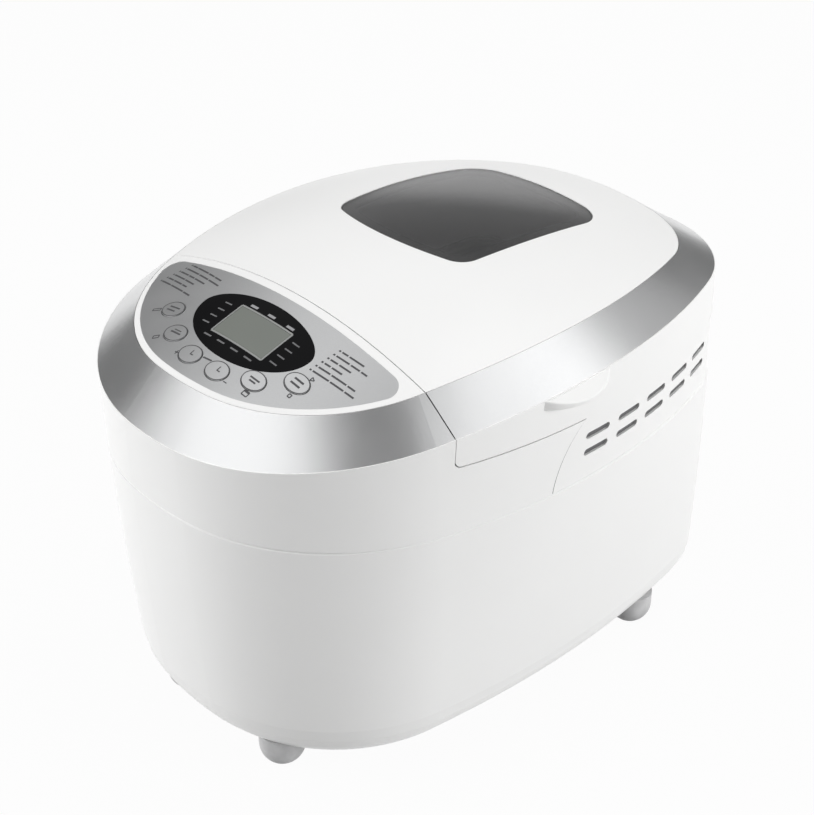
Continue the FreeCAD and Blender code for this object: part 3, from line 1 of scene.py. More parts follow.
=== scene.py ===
import math

import bmesh
import bpy
from mathutils import Matrix, Vector


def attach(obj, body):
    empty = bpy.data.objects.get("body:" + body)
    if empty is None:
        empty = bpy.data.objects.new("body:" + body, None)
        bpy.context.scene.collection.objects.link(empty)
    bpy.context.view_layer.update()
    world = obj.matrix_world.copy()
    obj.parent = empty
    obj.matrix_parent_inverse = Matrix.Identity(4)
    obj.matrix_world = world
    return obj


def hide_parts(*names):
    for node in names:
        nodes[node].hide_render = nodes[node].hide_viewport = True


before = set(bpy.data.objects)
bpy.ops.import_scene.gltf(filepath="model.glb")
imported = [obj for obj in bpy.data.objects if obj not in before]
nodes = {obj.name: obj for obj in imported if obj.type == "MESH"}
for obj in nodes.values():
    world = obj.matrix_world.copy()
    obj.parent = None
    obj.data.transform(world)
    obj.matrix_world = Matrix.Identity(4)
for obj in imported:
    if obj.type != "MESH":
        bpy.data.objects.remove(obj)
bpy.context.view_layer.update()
scene = bpy.context.scene
MM = 0.001


class Graph:
    """Adds nodes to a tree and links or sets their inputs."""

    def __init__(self, tree):
        self.tree = tree

    def feed(self, socket, value):
        if isinstance(value, bpy.types.NodeSocket):
            self.tree.links.new(value, socket)
        else:
            socket.default_value = value

    def add(self, kind, values=None, **settings):
        node = self.tree.nodes.new(kind)
        for name, value in settings.items():
            setattr(node, name, value)
        for name, value in (values or {}).items():
            self.feed(node.inputs[name], value)
        return node

    def math(self, operation, first, second=0.0):
        return self.add("ShaderNodeMath", {0: first, 1: second}, operation=operation).outputs[0]


# Camera and studio

AIM = Vector((-0.0017, 0.0006, 0.1568))
CAMERA_TURN = math.radians(47.98)
CAMERA_RISE = math.radians(30.57)
CAMERA_DISTANCE = 1.0114
CAMERA_LENS = 76.05
SENSOR_WIDTH = 36
NEAR_CLIP = 0.01

# Name, turn and rise in degrees, distance and size in metres, and power in watts
SOFTBOXES = (
    ("front_softbox", -36, 17, 2.2, 1.4, 34),
    ("right_softbox", 112, 17, 2.4, 1.4, 38),
    ("top_softbox", 175, 70, 2.5, 1.4, 21.5),
)

WHITE_LIGHT = (1, 1, 1, 1)
FLOOR_REACH = 12
FLOOR_GREY = 0.5
FLOOR_GLOW = 0.96

# Bright or dim spots as turn, rise and spread in degrees, and strength
# Each has its full strength where the cosine to its middle is above the core
SPOT_CORE = 0.99
ROOM_LEVEL = 0.53
ROOM_DIM_SIDES = ((46, -8, 68, 0.53), (180, 0, 74, 0.53), (-75, 0, 44, 0.25))
TENT_PANELS = (
    (-24, 43, 42, 1.1),
    (122, 50, 29, 1.0),
    (158, 42, 30, 0.3),
    (-112, 64, 30, 0.7),
    (-133, 28, 30, 0.4),
    (-140, 6, 20, 0.5),
)
TENT_RADIUS = 5.0
TENT_RINGS = 24
TENT_SECTORS = 48
TENT_SURROUND = {"From Min": -0.4, "From Max": 0.95, "To Min": 0.10, "To Max": 0.26}


def direction(turn, rise):
    """Unit vector at a turn from the front towards the right and a rise above the floor."""
    return Vector((math.sin(turn) * math.cos(rise), -math.cos(turn) * math.cos(rise), math.sin(rise)))


def add_camera():
    data = bpy.data.cameras.new("photo_camera")
    data.lens = CAMERA_LENS
    data.sensor_width = SENSOR_WIDTH
    data.clip_start = NEAR_CLIP
    camera = bpy.data.objects.new("photo_camera", data)
    toward = direction(CAMERA_TURN, CAMERA_RISE)
    camera.location = AIM + toward * CAMERA_DISTANCE
    camera.rotation_euler = toward.to_track_quat("Z", "Y").to_euler()
    scene.collection.objects.link(camera)
    scene.camera = camera


def add_softbox(name, turn, rise, distance, size, power):
    data = bpy.data.lights.new(name, "AREA")
    data.shape = "DISK"
    data.size = size
    data.energy = power
    lamp = bpy.data.objects.new(name, data)
    toward = direction(math.radians(turn), math.radians(rise))
    lamp.location = AIM + toward * distance
    lamp.rotation_euler = toward.to_track_quat("Z", "Y").to_euler()
    lamp.visible_glossy = False
    scene.collection.objects.link(lamp)


def dot(graph, first, second):
    return graph.add("ShaderNodeVectorMath", {0: first, 1: second}, operation="DOT_PRODUCT").outputs["Value"]


def lobe(graph, unit, turn, rise, spread, strength):
    """Smooth spot round a direction, falling to nothing at the spread."""
    toward = direction(math.radians(turn), math.radians(rise))
    aligned = dot(graph, unit, toward)
    edge = math.cos(math.radians(spread))
    values = {"Value": aligned, "From Min": edge, "From Max": SPOT_CORE, "To Min": 0.0, "To Max": strength}
    return graph.add("ShaderNodeMapRange", values, interpolation_type="SMOOTHSTEP").outputs[0]


def seen_rays(graph):
    """Rays that show the background: straight to the camera, mirrored or through glass."""
    path = graph.add("ShaderNodeLightPath").outputs
    mirrored = graph.math("MAXIMUM", path["Is Glossy Ray"], path["Is Transmission Ray"])
    return graph.math("MAXIMUM", path["Is Camera Ray"], mirrored)


def add_world():
    """Pale room with dimmer sides; the background that the camera sees is white."""
    world = bpy.data.worlds.new("pale_room")
    scene.world = world
    world.use_nodes = True
    graph = Graph(world.node_tree)
    world.node_tree.nodes.clear()
    seen = seen_rays(graph)
    unit = graph.add("ShaderNodeTexCoord").outputs["Generated"]
    level = ROOM_LEVEL
    for side in ROOM_DIM_SIDES:
        level = graph.math("SUBTRACT", level, lobe(graph, unit, *side))
    room = graph.add("ShaderNodeBackground", {"Color": WHITE_LIGHT, "Strength": level})
    white = graph.add("ShaderNodeBackground", {"Color": WHITE_LIGHT, "Strength": 1.0})
    mix = graph.add("ShaderNodeMixShader", {0: seen, 1: room.outputs[0], 2: white.outputs[0]})
    graph.add("ShaderNodeOutputWorld", {"Surface": mix.outputs[0]})


def blank_material(name):
    material = bpy.data.materials.new(name)
    material.use_nodes = True
    material.node_tree.nodes.clear()
    return material, Graph(material.node_tree)


def add_floor():
    material, graph = blank_material("pale_floor")
    seen = graph.math("MULTIPLY", seen_rays(graph), FLOOR_GLOW)
    matt = graph.add("ShaderNodeBsdfDiffuse", {"Color": (FLOOR_GREY, FLOOR_GREY, FLOOR_GREY, 1)})
    glow = graph.add("ShaderNodeEmission", {"Color": WHITE_LIGHT, "Strength": 1.0})
    mix = graph.add("ShaderNodeMixShader", {0: seen, 1: matt.outputs[0], 2: glow.outputs[0]})
    graph.add("ShaderNodeOutputMaterial", {"Surface": mix.outputs[0]})
    mesh = bpy.data.meshes.new("floor")
    corners = [(x * FLOOR_REACH, y * FLOOR_REACH, 0) for x, y in ((-1, -1), (1, -1), (1, 1), (-1, 1))]
    mesh.from_pydata(corners, [], [(0, 1, 2, 3)])
    mesh.materials.append(material)
    floor = bpy.data.objects.new("floor", mesh)
    scene.collection.objects.link(floor)


def add_tent():
    """Studio tent that only reflections see: bright panels above a dim surround."""
    material, graph = blank_material("tent_cloth")
    place = graph.add("ShaderNodeTexCoord").outputs["Object"]
    unit = graph.add("ShaderNodeVectorMath", {0: place}, operation="NORMALIZE").outputs[0]
    height = graph.add("ShaderNodeSeparateXYZ", {0: unit}).outputs["Z"]
    glow = graph.add("ShaderNodeMapRange", {"Value": height, **TENT_SURROUND}).outputs[0]
    for panel in TENT_PANELS:
        glow = graph.math("ADD", glow, lobe(graph, unit, *panel))
    light = graph.add("ShaderNodeEmission", {"Color": WHITE_LIGHT, "Strength": glow})
    graph.add("ShaderNodeOutputMaterial", {"Surface": light.outputs[0]})
    mesh = bpy.data.meshes.new("studio_tent")
    points = []
    for ring in range(TENT_RINGS + 1):
        rise = math.pi * ring / TENT_RINGS - math.pi / 2
        for step in range(TENT_SECTORS):
            points.append(direction(2 * math.pi * step / TENT_SECTORS, rise) * TENT_RADIUS)
    faces = []
    for ring in range(TENT_RINGS):
        near = ring * TENT_SECTORS
        far = near + TENT_SECTORS
        for step in range(TENT_SECTORS):
            after = (step + 1) % TENT_SECTORS
            faces.append((near + step, far + step, far + after, near + after))
    mesh.from_pydata(points, [], faces)
    mesh.materials.append(material)
    tent = bpy.data.objects.new("studio_tent", mesh)
    tent.visible_camera = False
    tent.visible_diffuse = False
    tent.visible_transmission = False
    tent.visible_shadow = False
    scene.collection.objects.link(tent)


add_camera()
add_world()
add_floor()
add_tent()
for softbox in SOFTBOXES:
    add_softbox(*softbox)
scene.view_settings.view_transform = "Standard"


# Surface effects shared by the finishes: each puts out a colour mask, a relief and a polish value


def effect(name, build):
    tree = bpy.data.node_groups.new(name, "ShaderNodeTree")
    tree.interface.new_socket("Vector", in_out="INPUT", socket_type="NodeSocketVector")
    scale = tree.interface.new_socket("Scale", in_out="INPUT", socket_type="NodeSocketFloat")
    scale.default_value = 1.0
    for label in ("Mask", "Relief", "Polish"):
        tree.interface.new_socket(label, in_out="OUTPUT", socket_type="NodeSocketFloat")
    graph = Graph(tree)
    entry = graph.add("NodeGroupInput").outputs
    mask, relief, polish = build(graph, entry["Vector"], entry["Scale"])
    graph.add("NodeGroupOutput", {"Mask": mask, "Relief": relief, "Polish": polish})
    return tree


def noise(graph, vector, scale, factor, detail=3.0, distortion=0.0):
    size = graph.math("MULTIPLY", factor, scale)
    values = {"Vector": vector, "Scale": size, "Detail": detail, "Distortion": distortion}
    return graph.add("ShaderNodeTexNoise", values).outputs["Fac"]


def cells(graph, vector, scale, factor):
    size = graph.math("MULTIPLY", factor, scale)
    return graph.add("ShaderNodeTexVoronoi", {"Vector": vector, "Scale": size}).outputs


def ramp(graph, value, start, end, low=0.0, high=1.0):
    values = {"Value": value, "From Min": start, "From Max": end, "To Min": low, "To Max": high}
    return graph.add("ShaderNodeMapRange", values).outputs[0]


def moulded(graph, vector, factor):
    """Fine moulded grain with slow cloudiness and faint handling marks."""
    grain = noise(graph, vector, 2600, factor, 2.0)
    cloud = noise(graph, vector, 9, factor, 2.0)
    marks = noise(graph, vector, 30, factor, 3.0)
    return ramp(graph, cloud, 0.2, 0.8), grain, ramp(graph, marks, 0.2, 0.8)


def flaked(graph, vector, factor):
    """Metal flakes in a clear coat."""
    flake = cells(graph, vector, 5200, factor)
    tone = graph.add("ShaderNodeSeparateColor", {0: flake["Color"]}).outputs[0]
    cloud = noise(graph, vector, 26, factor, 4.0)
    both = graph.math("ADD", graph.math("MULTIPLY", tone, 0.6), graph.math("MULTIPLY", cloud, 0.4))
    return both, tone, ramp(graph, cloud, 0.35, 0.7)


def brushed(graph, vector, factor):
    """Long fine lines along x, as on drawn or brushed steel."""
    lay = graph.add("ShaderNodeMapping", {"Vector": vector, "Scale": (12, 900, 900)}).outputs[0]
    lines = noise(graph, lay, 1, factor, 3.0)
    smear = noise(graph, vector, 30, factor, 4.0, 0.6)
    return lines, lines, ramp(graph, smear, 0.3, 0.75)


def spangled(graph, vector, factor):
    """Frost-like crystals of galvanised sheet."""
    crystal = cells(graph, vector, 160, factor)
    tone = graph.add("ShaderNodeSeparateColor", {0: crystal["Color"]}).outputs[0]
    grain = noise(graph, vector, 900, factor, 3.0)
    return tone, grain, graph.math("MULTIPLY", tone, 0.9)


def speckled(graph, vector, factor):
    """Pale specks scattered in a dark coat, with soft orange peel."""
    specks = cells(graph, vector, 420, factor)
    spot = ramp(graph, specks["Distance"], 0.16, 0.06)
    peel = noise(graph, vector, 700, factor, 2.0)
    cloud = noise(graph, vector, 22, factor, 4.0)
    return spot, peel, ramp(graph, cloud, 0.3, 0.7)


def dusty(graph, vector, factor):
    """Rubber with a dry bloom and fine pitting."""
    bloom = noise(graph, vector, 90, factor, 5.0)
    pits = noise(graph, vector, 1800, factor, 3.0)
    return ramp(graph, bloom, 0.38, 0.68), pits, bloom


def etched(graph, vector, factor):
    """Copper tracks under the lacquer of a circuit board."""
    size = graph.math("MULTIPLY", factor, 90)
    layout = {"Vector": vector, "Scale": size, "Mortar Size": 0.03}
    tracks = graph.add("ShaderNodeTexBrick", layout).outputs["Fac"]
    grain = noise(graph, vector, 1200, factor, 2.0)
    return tracks, graph.math("ADD", grain, tracks), grain


EFFECTS = {
    build.__name__: effect(build.__name__ + "_surface", build)
    for build in (moulded, flaked, brushed, spangled, speckled, dusty, etched)
}


EDGE_WIDTH = 0.6 * MM
RELIEF_DEPTH = 0.2 * MM


def edge_wear_group():
    """Mask that rises on convex edges, broken up by noise."""
    tree = bpy.data.node_groups.new("edge_wear", "ShaderNodeTree")
    tree.interface.new_socket("Vector", in_out="INPUT", socket_type="NodeSocketVector")
    width = tree.interface.new_socket("Width", in_out="INPUT", socket_type="NodeSocketFloat")
    width.default_value = EDGE_WIDTH
    tree.interface.new_socket("Wear", in_out="OUTPUT", socket_type="NodeSocketFloat")
    graph = Graph(tree)
    entry = graph.add("NodeGroupInput").outputs
    rounded = graph.add("ShaderNodeBevel", {"Radius": entry["Width"]}, samples=4).outputs[0]
    flat = graph.add("ShaderNodeNewGeometry").outputs["Normal"]
    edge = ramp(graph, dot(graph, rounded, flat), 0.98, 0.82)
    broken = ramp(graph, noise(graph, entry["Vector"], 180, 1.0, 4.0), 0.38, 0.62)
    graph.add("NodeGroupOutput", {"Wear": graph.math("MULTIPLY", edge, broken)})
    return tree


EDGE_WEAR = edge_wear_group()


def blend(graph, share, first, second):
    """Colour that goes from the first to the second as the share rises."""
    return graph.add("ShaderNodeMix", {0: share, 6: first, 7: second}, data_type="RGBA").outputs[2]


def finish(name, pattern, dark, light, rough, relief=0.05, scale=1.0, metallic=0.0, wear=None, **sockets):
    """Material whose colour, roughness and relief follow one of the surface effects."""
    material, graph = blank_material(name)
    place = graph.add("ShaderNodeTexCoord").outputs["Object"]
    skin = graph.add("ShaderNodeGroup", node_tree=EFFECTS[pattern])
    graph.feed(skin.inputs["Vector"], place)
    graph.feed(skin.inputs["Scale"], scale)
    colour = blend(graph, skin.outputs["Mask"], (*dark, 1), (*light, 1))
    if wear:
        worn = graph.add("ShaderNodeGroup", node_tree=EDGE_WEAR)
        graph.feed(worn.inputs["Vector"], place)
        colour = blend(graph, worn.outputs["Wear"], colour, (*wear, 1))
    polish = ramp(graph, skin.outputs["Polish"], 0.0, 1.0, *rough)
    grain = {"Strength": relief, "Distance": RELIEF_DEPTH, "Height": skin.outputs["Relief"]}
    bump = graph.add("ShaderNodeBump", grain)
    values = {"Base Color": colour, "Roughness": polish, "Normal": bump.outputs[0], "Metallic": metallic}
    shader = graph.add("ShaderNodeBsdfPrincipled", {**values, **sockets})
    graph.add("ShaderNodeOutputMaterial", {"Surface": shader.outputs[0]})
    return material


# Name, effect, the two colours, range of roughness and relief
WHITE = finish("white_moulding", "moulded", (0.815, 0.815, 0.81), (0.835, 0.835, 0.83), (0.29, 0.34), 0.012)
LINER = finish("liner_moulding", "moulded", (0.72, 0.72, 0.71), (0.77, 0.77, 0.76), (0.42, 0.55), 0.06)
SILVER = finish(
    "silver_coat", "flaked", (0.66, 0.665, 0.67), (0.76, 0.765, 0.77), (0.21, 0.26), 0.01,
    metallic=0.95, wear=(0.86, 0.86, 0.86), **{"Coat Weight": 0.25, "Coat Roughness": 0.12},
)
PANEL = finish(
    "panel_print", "flaked", (0.54, 0.545, 0.55), (0.64, 0.645, 0.65), (0.34, 0.40), 0.01,
    scale=1.2, metallic=0.9,
)
KEY = finish(
    "key_satin", "flaked", (0.56, 0.565, 0.57), (0.66, 0.665, 0.67), (0.30, 0.36), 0.015,
    scale=1.2, metallic=0.9,
)
BLACK = finish(
    "display_gloss", "moulded", (0.002, 0.002, 0.0025), (0.005, 0.005, 0.0055), (0.16, 0.24), 0.01,
    **{"Specular IOR Level": 0.06},
)
LCD = finish("lcd_film", "moulded", (0.13, 0.142, 0.128), (0.18, 0.192, 0.172), (0.10, 0.16), 0.005)
DARK = finish("dark_moulding", "moulded", (0.018, 0.018, 0.019), (0.032, 0.032, 0.034), (0.40, 0.55), 0.10)
FRAME_GREY = finish(
    "window_frame_grey", "moulded", (0.045, 0.045, 0.046), (0.07, 0.07, 0.072), (0.40, 0.5), 0.03
)
RUBBER = finish("foot_rubber", "dusty", (0.50, 0.50, 0.505), (0.60, 0.60, 0.605), (0.55, 0.72), 0.15)
BELT = finish("belt_rubber", "dusty", (0.015, 0.015, 0.015), (0.035, 0.035, 0.035), (0.6, 0.8), 0.3)
SILICONE = finish("seal_silicone", "dusty", (0.30, 0.06, 0.035), (0.40, 0.09, 0.05), (0.45, 0.6), 0.1)
GALVANISED = finish(
    "galvanised_sheet", "spangled", (0.46, 0.47, 0.48), (0.66, 0.67, 0.68), (0.28, 0.46), 0.06, metallic=1.0
)
STEEL = finish(
    "plated_steel", "brushed", (0.52, 0.52, 0.53), (0.72, 0.72, 0.73), (0.18, 0.34), 0.05, metallic=1.0
)
HEATER = finish(
    "heater_sheath", "speckled", (0.10, 0.095, 0.09), (0.20, 0.18, 0.17), (0.40, 0.60), 0.2,
    scale=2.0, metallic=0.8,
)
CERAMIC = finish("ceramic", "speckled", (0.74, 0.71, 0.65), (0.60, 0.57, 0.51), (0.5, 0.7), 0.15, scale=1.5)
CAST = finish(
    "cast_alloy", "spangled", (0.42, 0.42, 0.43), (0.54, 0.54, 0.55), (0.40, 0.58), 0.25,
    scale=4.0, metallic=1.0, wear=(0.72, 0.72, 0.73),
)
BRONZE = finish(
    "sintered_bronze", "speckled", (0.46, 0.29, 0.12), (0.30, 0.18, 0.07), (0.35, 0.5), 0.2,
    scale=2.5, metallic=1.0,
)
COATING = finish(
    "pan_coating", "speckled", (0.035, 0.035, 0.037), (0.16, 0.16, 0.165), (0.34, 0.46), 0.08,
    metallic=0.3, wear=(0.30, 0.30, 0.31),
)
NYLON = finish("pulley_nylon", "moulded", (0.05, 0.05, 0.055), (0.075, 0.075, 0.08), (0.40, 0.52), 0.08)
BOARD = finish("board_laminate", "etched", (0.02, 0.12, 0.05), (0.06, 0.20, 0.09), (0.30, 0.42), 0.12)
# Painted shade: dark film for the shadow along the vent panel's front edge
PAINTED_SHADE = finish("painted_edge_shade", "moulded", (0.21, 0.21, 0.212), (0.25, 0.25, 0.253), (0.5, 0.65), 0.05)
GAUZE = finish(
    "vent_gauze", "speckled", (0.12, 0.12, 0.124), (0.06, 0.06, 0.064), (0.5, 0.65), 0.3, scale=3.0
)
INK = finish("dark_ink", "moulded", (0.045, 0.045, 0.048), (0.07, 0.07, 0.074), (0.45, 0.55), 0.02)
PALE_INK = finish("pale_ink", "moulded", (0.26, 0.26, 0.27), (0.34, 0.34, 0.35), (0.45, 0.55), 0.02)
DIM_INK = finish("dim_ink", "moulded", (0.11, 0.11, 0.115), (0.16, 0.16, 0.165), (0.45, 0.55), 0.02)
BEZEL = finish("lcd_bezel", "brushed", (0.22, 0.225, 0.22), (0.30, 0.305, 0.30), (0.25, 0.35), 0.03)
TINT = finish(
    "tinted_glass", "moulded", (0.24, 0.24, 0.245), (0.26, 0.26, 0.265), (0.03, 0.05), 0.0,
    **{"Transmission Weight": 1.0, "IOR": 1.46},
)
CLEAR = finish(
    "clear_glass", "moulded", (0.86, 0.88, 0.88), (0.92, 0.93, 0.93), (0.01, 0.04), 0.0,
    **{"Transmission Weight": 1.0, "IOR": 1.46},
)

KEY_NAMES = (
    "program_button",
    "crust_button",
    "timer_up_button",
    "timer_down_button",
    "loaf_size_button",
    "start_stop_button",
)
FINISHES = {
    WHITE: ("lower_housing", "upper_housing", "control_deck", "chamber_deck", "lid_top", "lid_skirt"),
    LINER: ("lid_liner",),
    SILVER: ("front_band", "lid_band"),
    PANEL: ("control_overlay",),
    KEY: KEY_NAMES,
    BLACK: ("display_panel",),
    LCD: ("lcd_glass",),
    DARK: ("lcd_module", "button_switches", "power_transformer", "cord_gland"),
    FRAME_GREY: ("window_frame",),
    RUBBER: ("rubber_feet",),
    BELT: ("drive_belt",),
    SILICONE: ("pan_seal",),
    GALVANISED: ("base_plate", "chassis_plate", "chassis_posts", "chamber_brackets", "baking_chamber"),
    STEEL: (
        "base_screws", "chassis_screws", "motor_screws", "motor_shaft", "drive_shaft", "pan_shaft",
        "pan_handle", "pan_clips", "hinge_pins", "temperature_sensor",
    ),
    HEATER: ("heating_element",),
    CERAMIC: ("heater_insulators", "thermal_fuse"),
    CAST: (
        "motor_body", "small_pulley", "drive_dog", "bearing_housing", "pan_base_ring", "pan_coupling",
    ),
    BRONZE: ("bearing_bushes", "pan_bush"),
    COATING: ("bread_pan", "pan_ears", "kneading_paddle"),
    NYLON: ("large_pulley",),
    BOARD: ("control_board", "power_board"),
    TINT: ("window_glass",),
    CLEAR: ("inner_glass",),
}
for material, names in FINISHES.items():
    for name in names:
        for slot in nodes[name].material_slots:
            slot.material = material


# Window frame, kept a hair below the glass that lies on it

FRAME_DROP = 0.2 * MM
FRAME_WELD = 0.001 * MM
FRAME_SHARP = math.radians(30)


def seat_window_frame():
    shape = bmesh.new()
    shape.from_mesh(nodes["window_frame"].data)
    bmesh.ops.remove_doubles(shape, verts=shape.verts, dist=FRAME_WELD)
    bmesh.ops.translate(shape, verts=shape.verts, vec=(0, 0, -FRAME_DROP))
    mesh = bpy.data.meshes.new("window_seat")
    shape.to_mesh(mesh)
    shape.free()
    mesh.shade_smooth()
    mesh.set_sharp_from_angle(angle=FRAME_SHARP)
    mesh.materials.clear()
    mesh.materials.append(FRAME_GREY)
    seat = bpy.data.objects.new("window_seat", mesh)
    scene.collection.objects.link(seat)
    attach(seat, "lid")
    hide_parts("window_frame")


seat_window_frame()


# Repeated pieces: geometry trees turned into plain meshes

SHEET_WELD = 1e-7
FILM = 0.04 * MM


def piece_tree(name, sizes, build):
    """Geometry tree with named sizes and a material input, fed by points or faces."""
    tree = bpy.data.node_groups.new(name, "GeometryNodeTree")
    tree.interface.new_socket("Geometry", in_out="INPUT", socket_type="NodeSocketGeometry")
    for label, value in sizes.items():
        socket = tree.interface.new_socket(label, in_out="INPUT", socket_type="NodeSocketFloat")
        socket.default_value = value
    tree.interface.new_socket("Finish", in_out="INPUT", socket_type="NodeSocketMaterial")
    tree.interface.new_socket("Geometry", in_out="OUTPUT", socket_type="NodeSocketGeometry")
    graph = Graph(tree)
    inputs = graph.add("NodeGroupInput").outputs
    shape = graph.add("GeometryNodeRealizeInstances", {"Geometry": build(graph, inputs)}).outputs[0]
    dressed = graph.add("GeometryNodeSetMaterial", {"Geometry": shape, "Material": inputs["Finish"]})
    graph.add("NodeGroupOutput", {"Geometry": dressed.outputs[0]})
    return tree


def sheet(graph, flat, thickness):
    """Closed solid made from a flat face."""
    push = {"Mesh": flat, "Offset Scale": thickness, "Individual": False}
    front = graph.add("GeometryNodeExtrudeMesh", push)
    back = graph.add("GeometryNodeFlipFaces", {"Mesh": flat})
    both = graph.add("GeometryNodeJoinGeometry", {0: front.outputs["Mesh"]})
    graph.feed(both.inputs[0], back.outputs[0])
    weld = {"Geometry": both.outputs[0], "Distance": SHEET_WELD}
    return graph.add("GeometryNodeMergeByDistance", weld).outputs[0]


def attribute(graph, name, kind="FLOAT"):
    return graph.add("GeometryNodeInputNamedAttribute", {"Name": name}, data_type=kind).outputs["Attribute"]


def socket_id(tree, label):
    sockets = tree.interface.items_tree
    return next(item.identifier for item in sockets if item.name == label and item.in_out == "INPUT")


def grow_piece(name, tree, points, facts, values, body, faces=()):
    """Runs a geometry tree on points or faces with attributes and keeps the result as a plain mesh piece."""
    mesh = bpy.data.meshes.new(name + "_points")
    mesh.from_pydata(points, [], faces)
    for label, rows in facts.items():
        if isinstance(rows[0], float):
            mesh.attributes.new(label, "FLOAT", "POINT").data.foreach_set("value", rows)
        else:
            flat = [number for row in rows for number in row]
            mesh.attributes.new(label, "FLOAT_VECTOR", "POINT").data.foreach_set("vector", flat)
    source = bpy.data.objects.new(name + "_points", mesh)
    scene.collection.objects.link(source)
    modifier = source.modifiers.new("grow", "NODES")
    modifier.node_group = tree
    for label, value in values.items():
        modifier[socket_id(tree, label)] = value
    evaluated = source.evaluated_get(bpy.context.evaluated_depsgraph_get())
    result = bpy.data.meshes.new_from_object(evaluated)
    result.name = name
    piece = bpy.data.objects.new(name, result)
    bpy.data.objects.remove(source)
    scene.collection.objects.link(piece)
    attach(piece, body)


# Gauze in the vents of the right-hand wall

VENT_FIRST = 13.0
VENT_PITCH = 26.8
VENT_COLUMNS = [VENT_FIRST + VENT_PITCH * step for step in range(5)]
VENT_ROWS = (198.0, 187.3)
VENT_SIZES = {"Length": 18.9 * MM, "Width": 4.1 * MM, "Thickness": 0.4 * MM}
VENT_DEPTH = 1.85 * MM
VENT_MARGIN = 3
END_ROUNDING = 0.499
END_STEPS = 8

# Rays that find the right-hand wall: how far out they start, in metres, and their way
OUTSIDE = 0.2
INWARD = Vector((-1, 0, 0))


def gauze_shape(graph, inputs):
    edge = graph.add("GeometryNodeCurvePrimitiveQuadrilateral")
    graph.feed(edge.inputs["Width"], inputs["Length"])
    graph.feed(edge.inputs["Height"], inputs["Width"])
    radius = graph.math("MULTIPLY", inputs["Width"], END_ROUNDING)
    corners = {"Curve": edge.outputs[0], "Count": END_STEPS, "Radius": radius}
    rounded = graph.add("GeometryNodeFilletCurve", corners, mode="POLY")
    flat = graph.add("GeometryNodeFillCurve", {"Curve": rounded.outputs[0]}).outputs[0]
    facing = attribute(graph, "facing", "FLOAT_VECTOR")
    plate = sheet(graph, flat, inputs["Thickness"])
    spread = {"Points": inputs["Geometry"], "Instance": plate, "Rotation": facing}
    return graph.add("GeometryNodeInstanceOnPoints", spread).outputs[0]


def vent_spots():
    """Middle of each vent and the way it faces, found on the wall above and below it."""
    shell = nodes["upper_housing"]
    spots = []
    facings = []
    for y in VENT_COLUMNS:
        for z in VENT_ROWS:
            starts = [Vector((OUTSIDE, y * MM, (z + step) * MM)) for step in (VENT_MARGIN, -VENT_MARGIN)]
            hits = [shell.ray_cast(start, INWARD) for start in starts]
            middle = (hits[0][1] + hits[1][1]) / 2
            out = (hits[0][2] + hits[1][2]).normalized()
            along = Vector((0, 0, 1)).cross(out).normalized()
            spots.append(middle - out * VENT_DEPTH)
            facings.append(Matrix((along, out.cross(along), out)).transposed().to_euler())
    return spots, facings


bpy.context.view_layer.update()
vent_places, vent_facings = vent_spots()
VENT_TREE = piece_tree("vent_gauze", VENT_SIZES, gauze_shape)
facing_facts = {"facing": vent_facings}
grow_piece("vent_gauze", VENT_TREE, vent_places, facing_facts, {"Finish": GAUZE}, "housing")


# Painted shadow along the curved front edge of the vent panel: a dark film laid on the wall where the
# panel's step would cast shade

EDGE_MIDDLE = (41.862, 166.698)
EDGE_RADIUS = 60.951
EDGE_HEIGHTS = (170.3, 210.7)
EDGE_STEPS = 24
SHADOW_START = 0.05
SHADOW_WIDTH = 1.7
SHADOW_LIFT = 0.02


def shadow_strip_points():
    """Pairs of points on the panel along its curved edge."""
    points = []
    for step in range(EDGE_STEPS + 1):
        z = EDGE_HEIGHTS[0] + (EDGE_HEIGHTS[1] - EDGE_HEIGHTS[0]) * step / EDGE_STEPS
        y = EDGE_MIDDLE[0] - math.sqrt(EDGE_RADIUS ** 2 - (z - EDGE_MIDDLE[1]) ** 2)
        for across in (SHADOW_START, SHADOW_START + SHADOW_WIDTH):
            start = Vector((OUTSIDE, (y + across) * MM, z * MM))
            _, spot, out, _ = nodes["upper_housing"].ray_cast(start, INWARD)
            points.append(spot + out * SHADOW_LIFT * MM)
    return points


def shadow_film(graph, inputs):
    return sheet(graph, inputs["Geometry"], inputs["Film"])


# The film is painted shadow, not a real gap in the wall
shadow_strip_faces = [(2 * step, 2 * step + 1, 2 * step + 3, 2 * step + 2) for step in range(EDGE_STEPS)]
SHADOW_TREE = piece_tree("panel_gap", {"Film": FILM}, shadow_film)
shadow_look = {"Finish": PAINTED_SHADE}
grow_piece("vent_panel_gap", SHADOW_TREE, shadow_strip_points(), {}, shadow_look, "housing", shadow_strip_faces)


# Printed marks: strokes and ovals laid on the crowned top

CROWN_SIZES = {
    "Crown height": 276.0 * MM,
    "Crown rise": 0.053,
    "End drop": 39.6 * MM / (180 * MM) ** 2,
    "Side drop": 29.7 * MM / (139.8 * MM) ** 2,
}
PANEL_LIFT = -0.18 * MM
KEY_LIFT = 0.27 * MM
BAR_POINTS = 9
OVAL_STROKES = 40
STROKE_OVERLAP = 0.08
WORD_GAP = 1.0


def crown_height(graph, place, inputs):
    """Height of the crowned top under a point, plus the lift."""
    x, y, _ = graph.add("ShaderNodeSeparateXYZ", {0: place}).outputs
    along = graph.math("MULTIPLY", y, inputs["Crown rise"])
    ends = graph.math("MULTIPLY", graph.math("MULTIPLY", y, y), inputs["End drop"])
    sides = graph.math("MULTIPLY", graph.math("MULTIPLY", x, x), inputs["Side drop"])
    height = graph.math("ADD", graph.math("ADD", inputs["Crown height"], along), inputs["Lift"])
    height = graph.math("SUBTRACT", graph.math("SUBTRACT", height, ends), sides)
    return graph.add("ShaderNodeCombineXYZ", {0: x, 1: y, 2: height}).outputs[0]


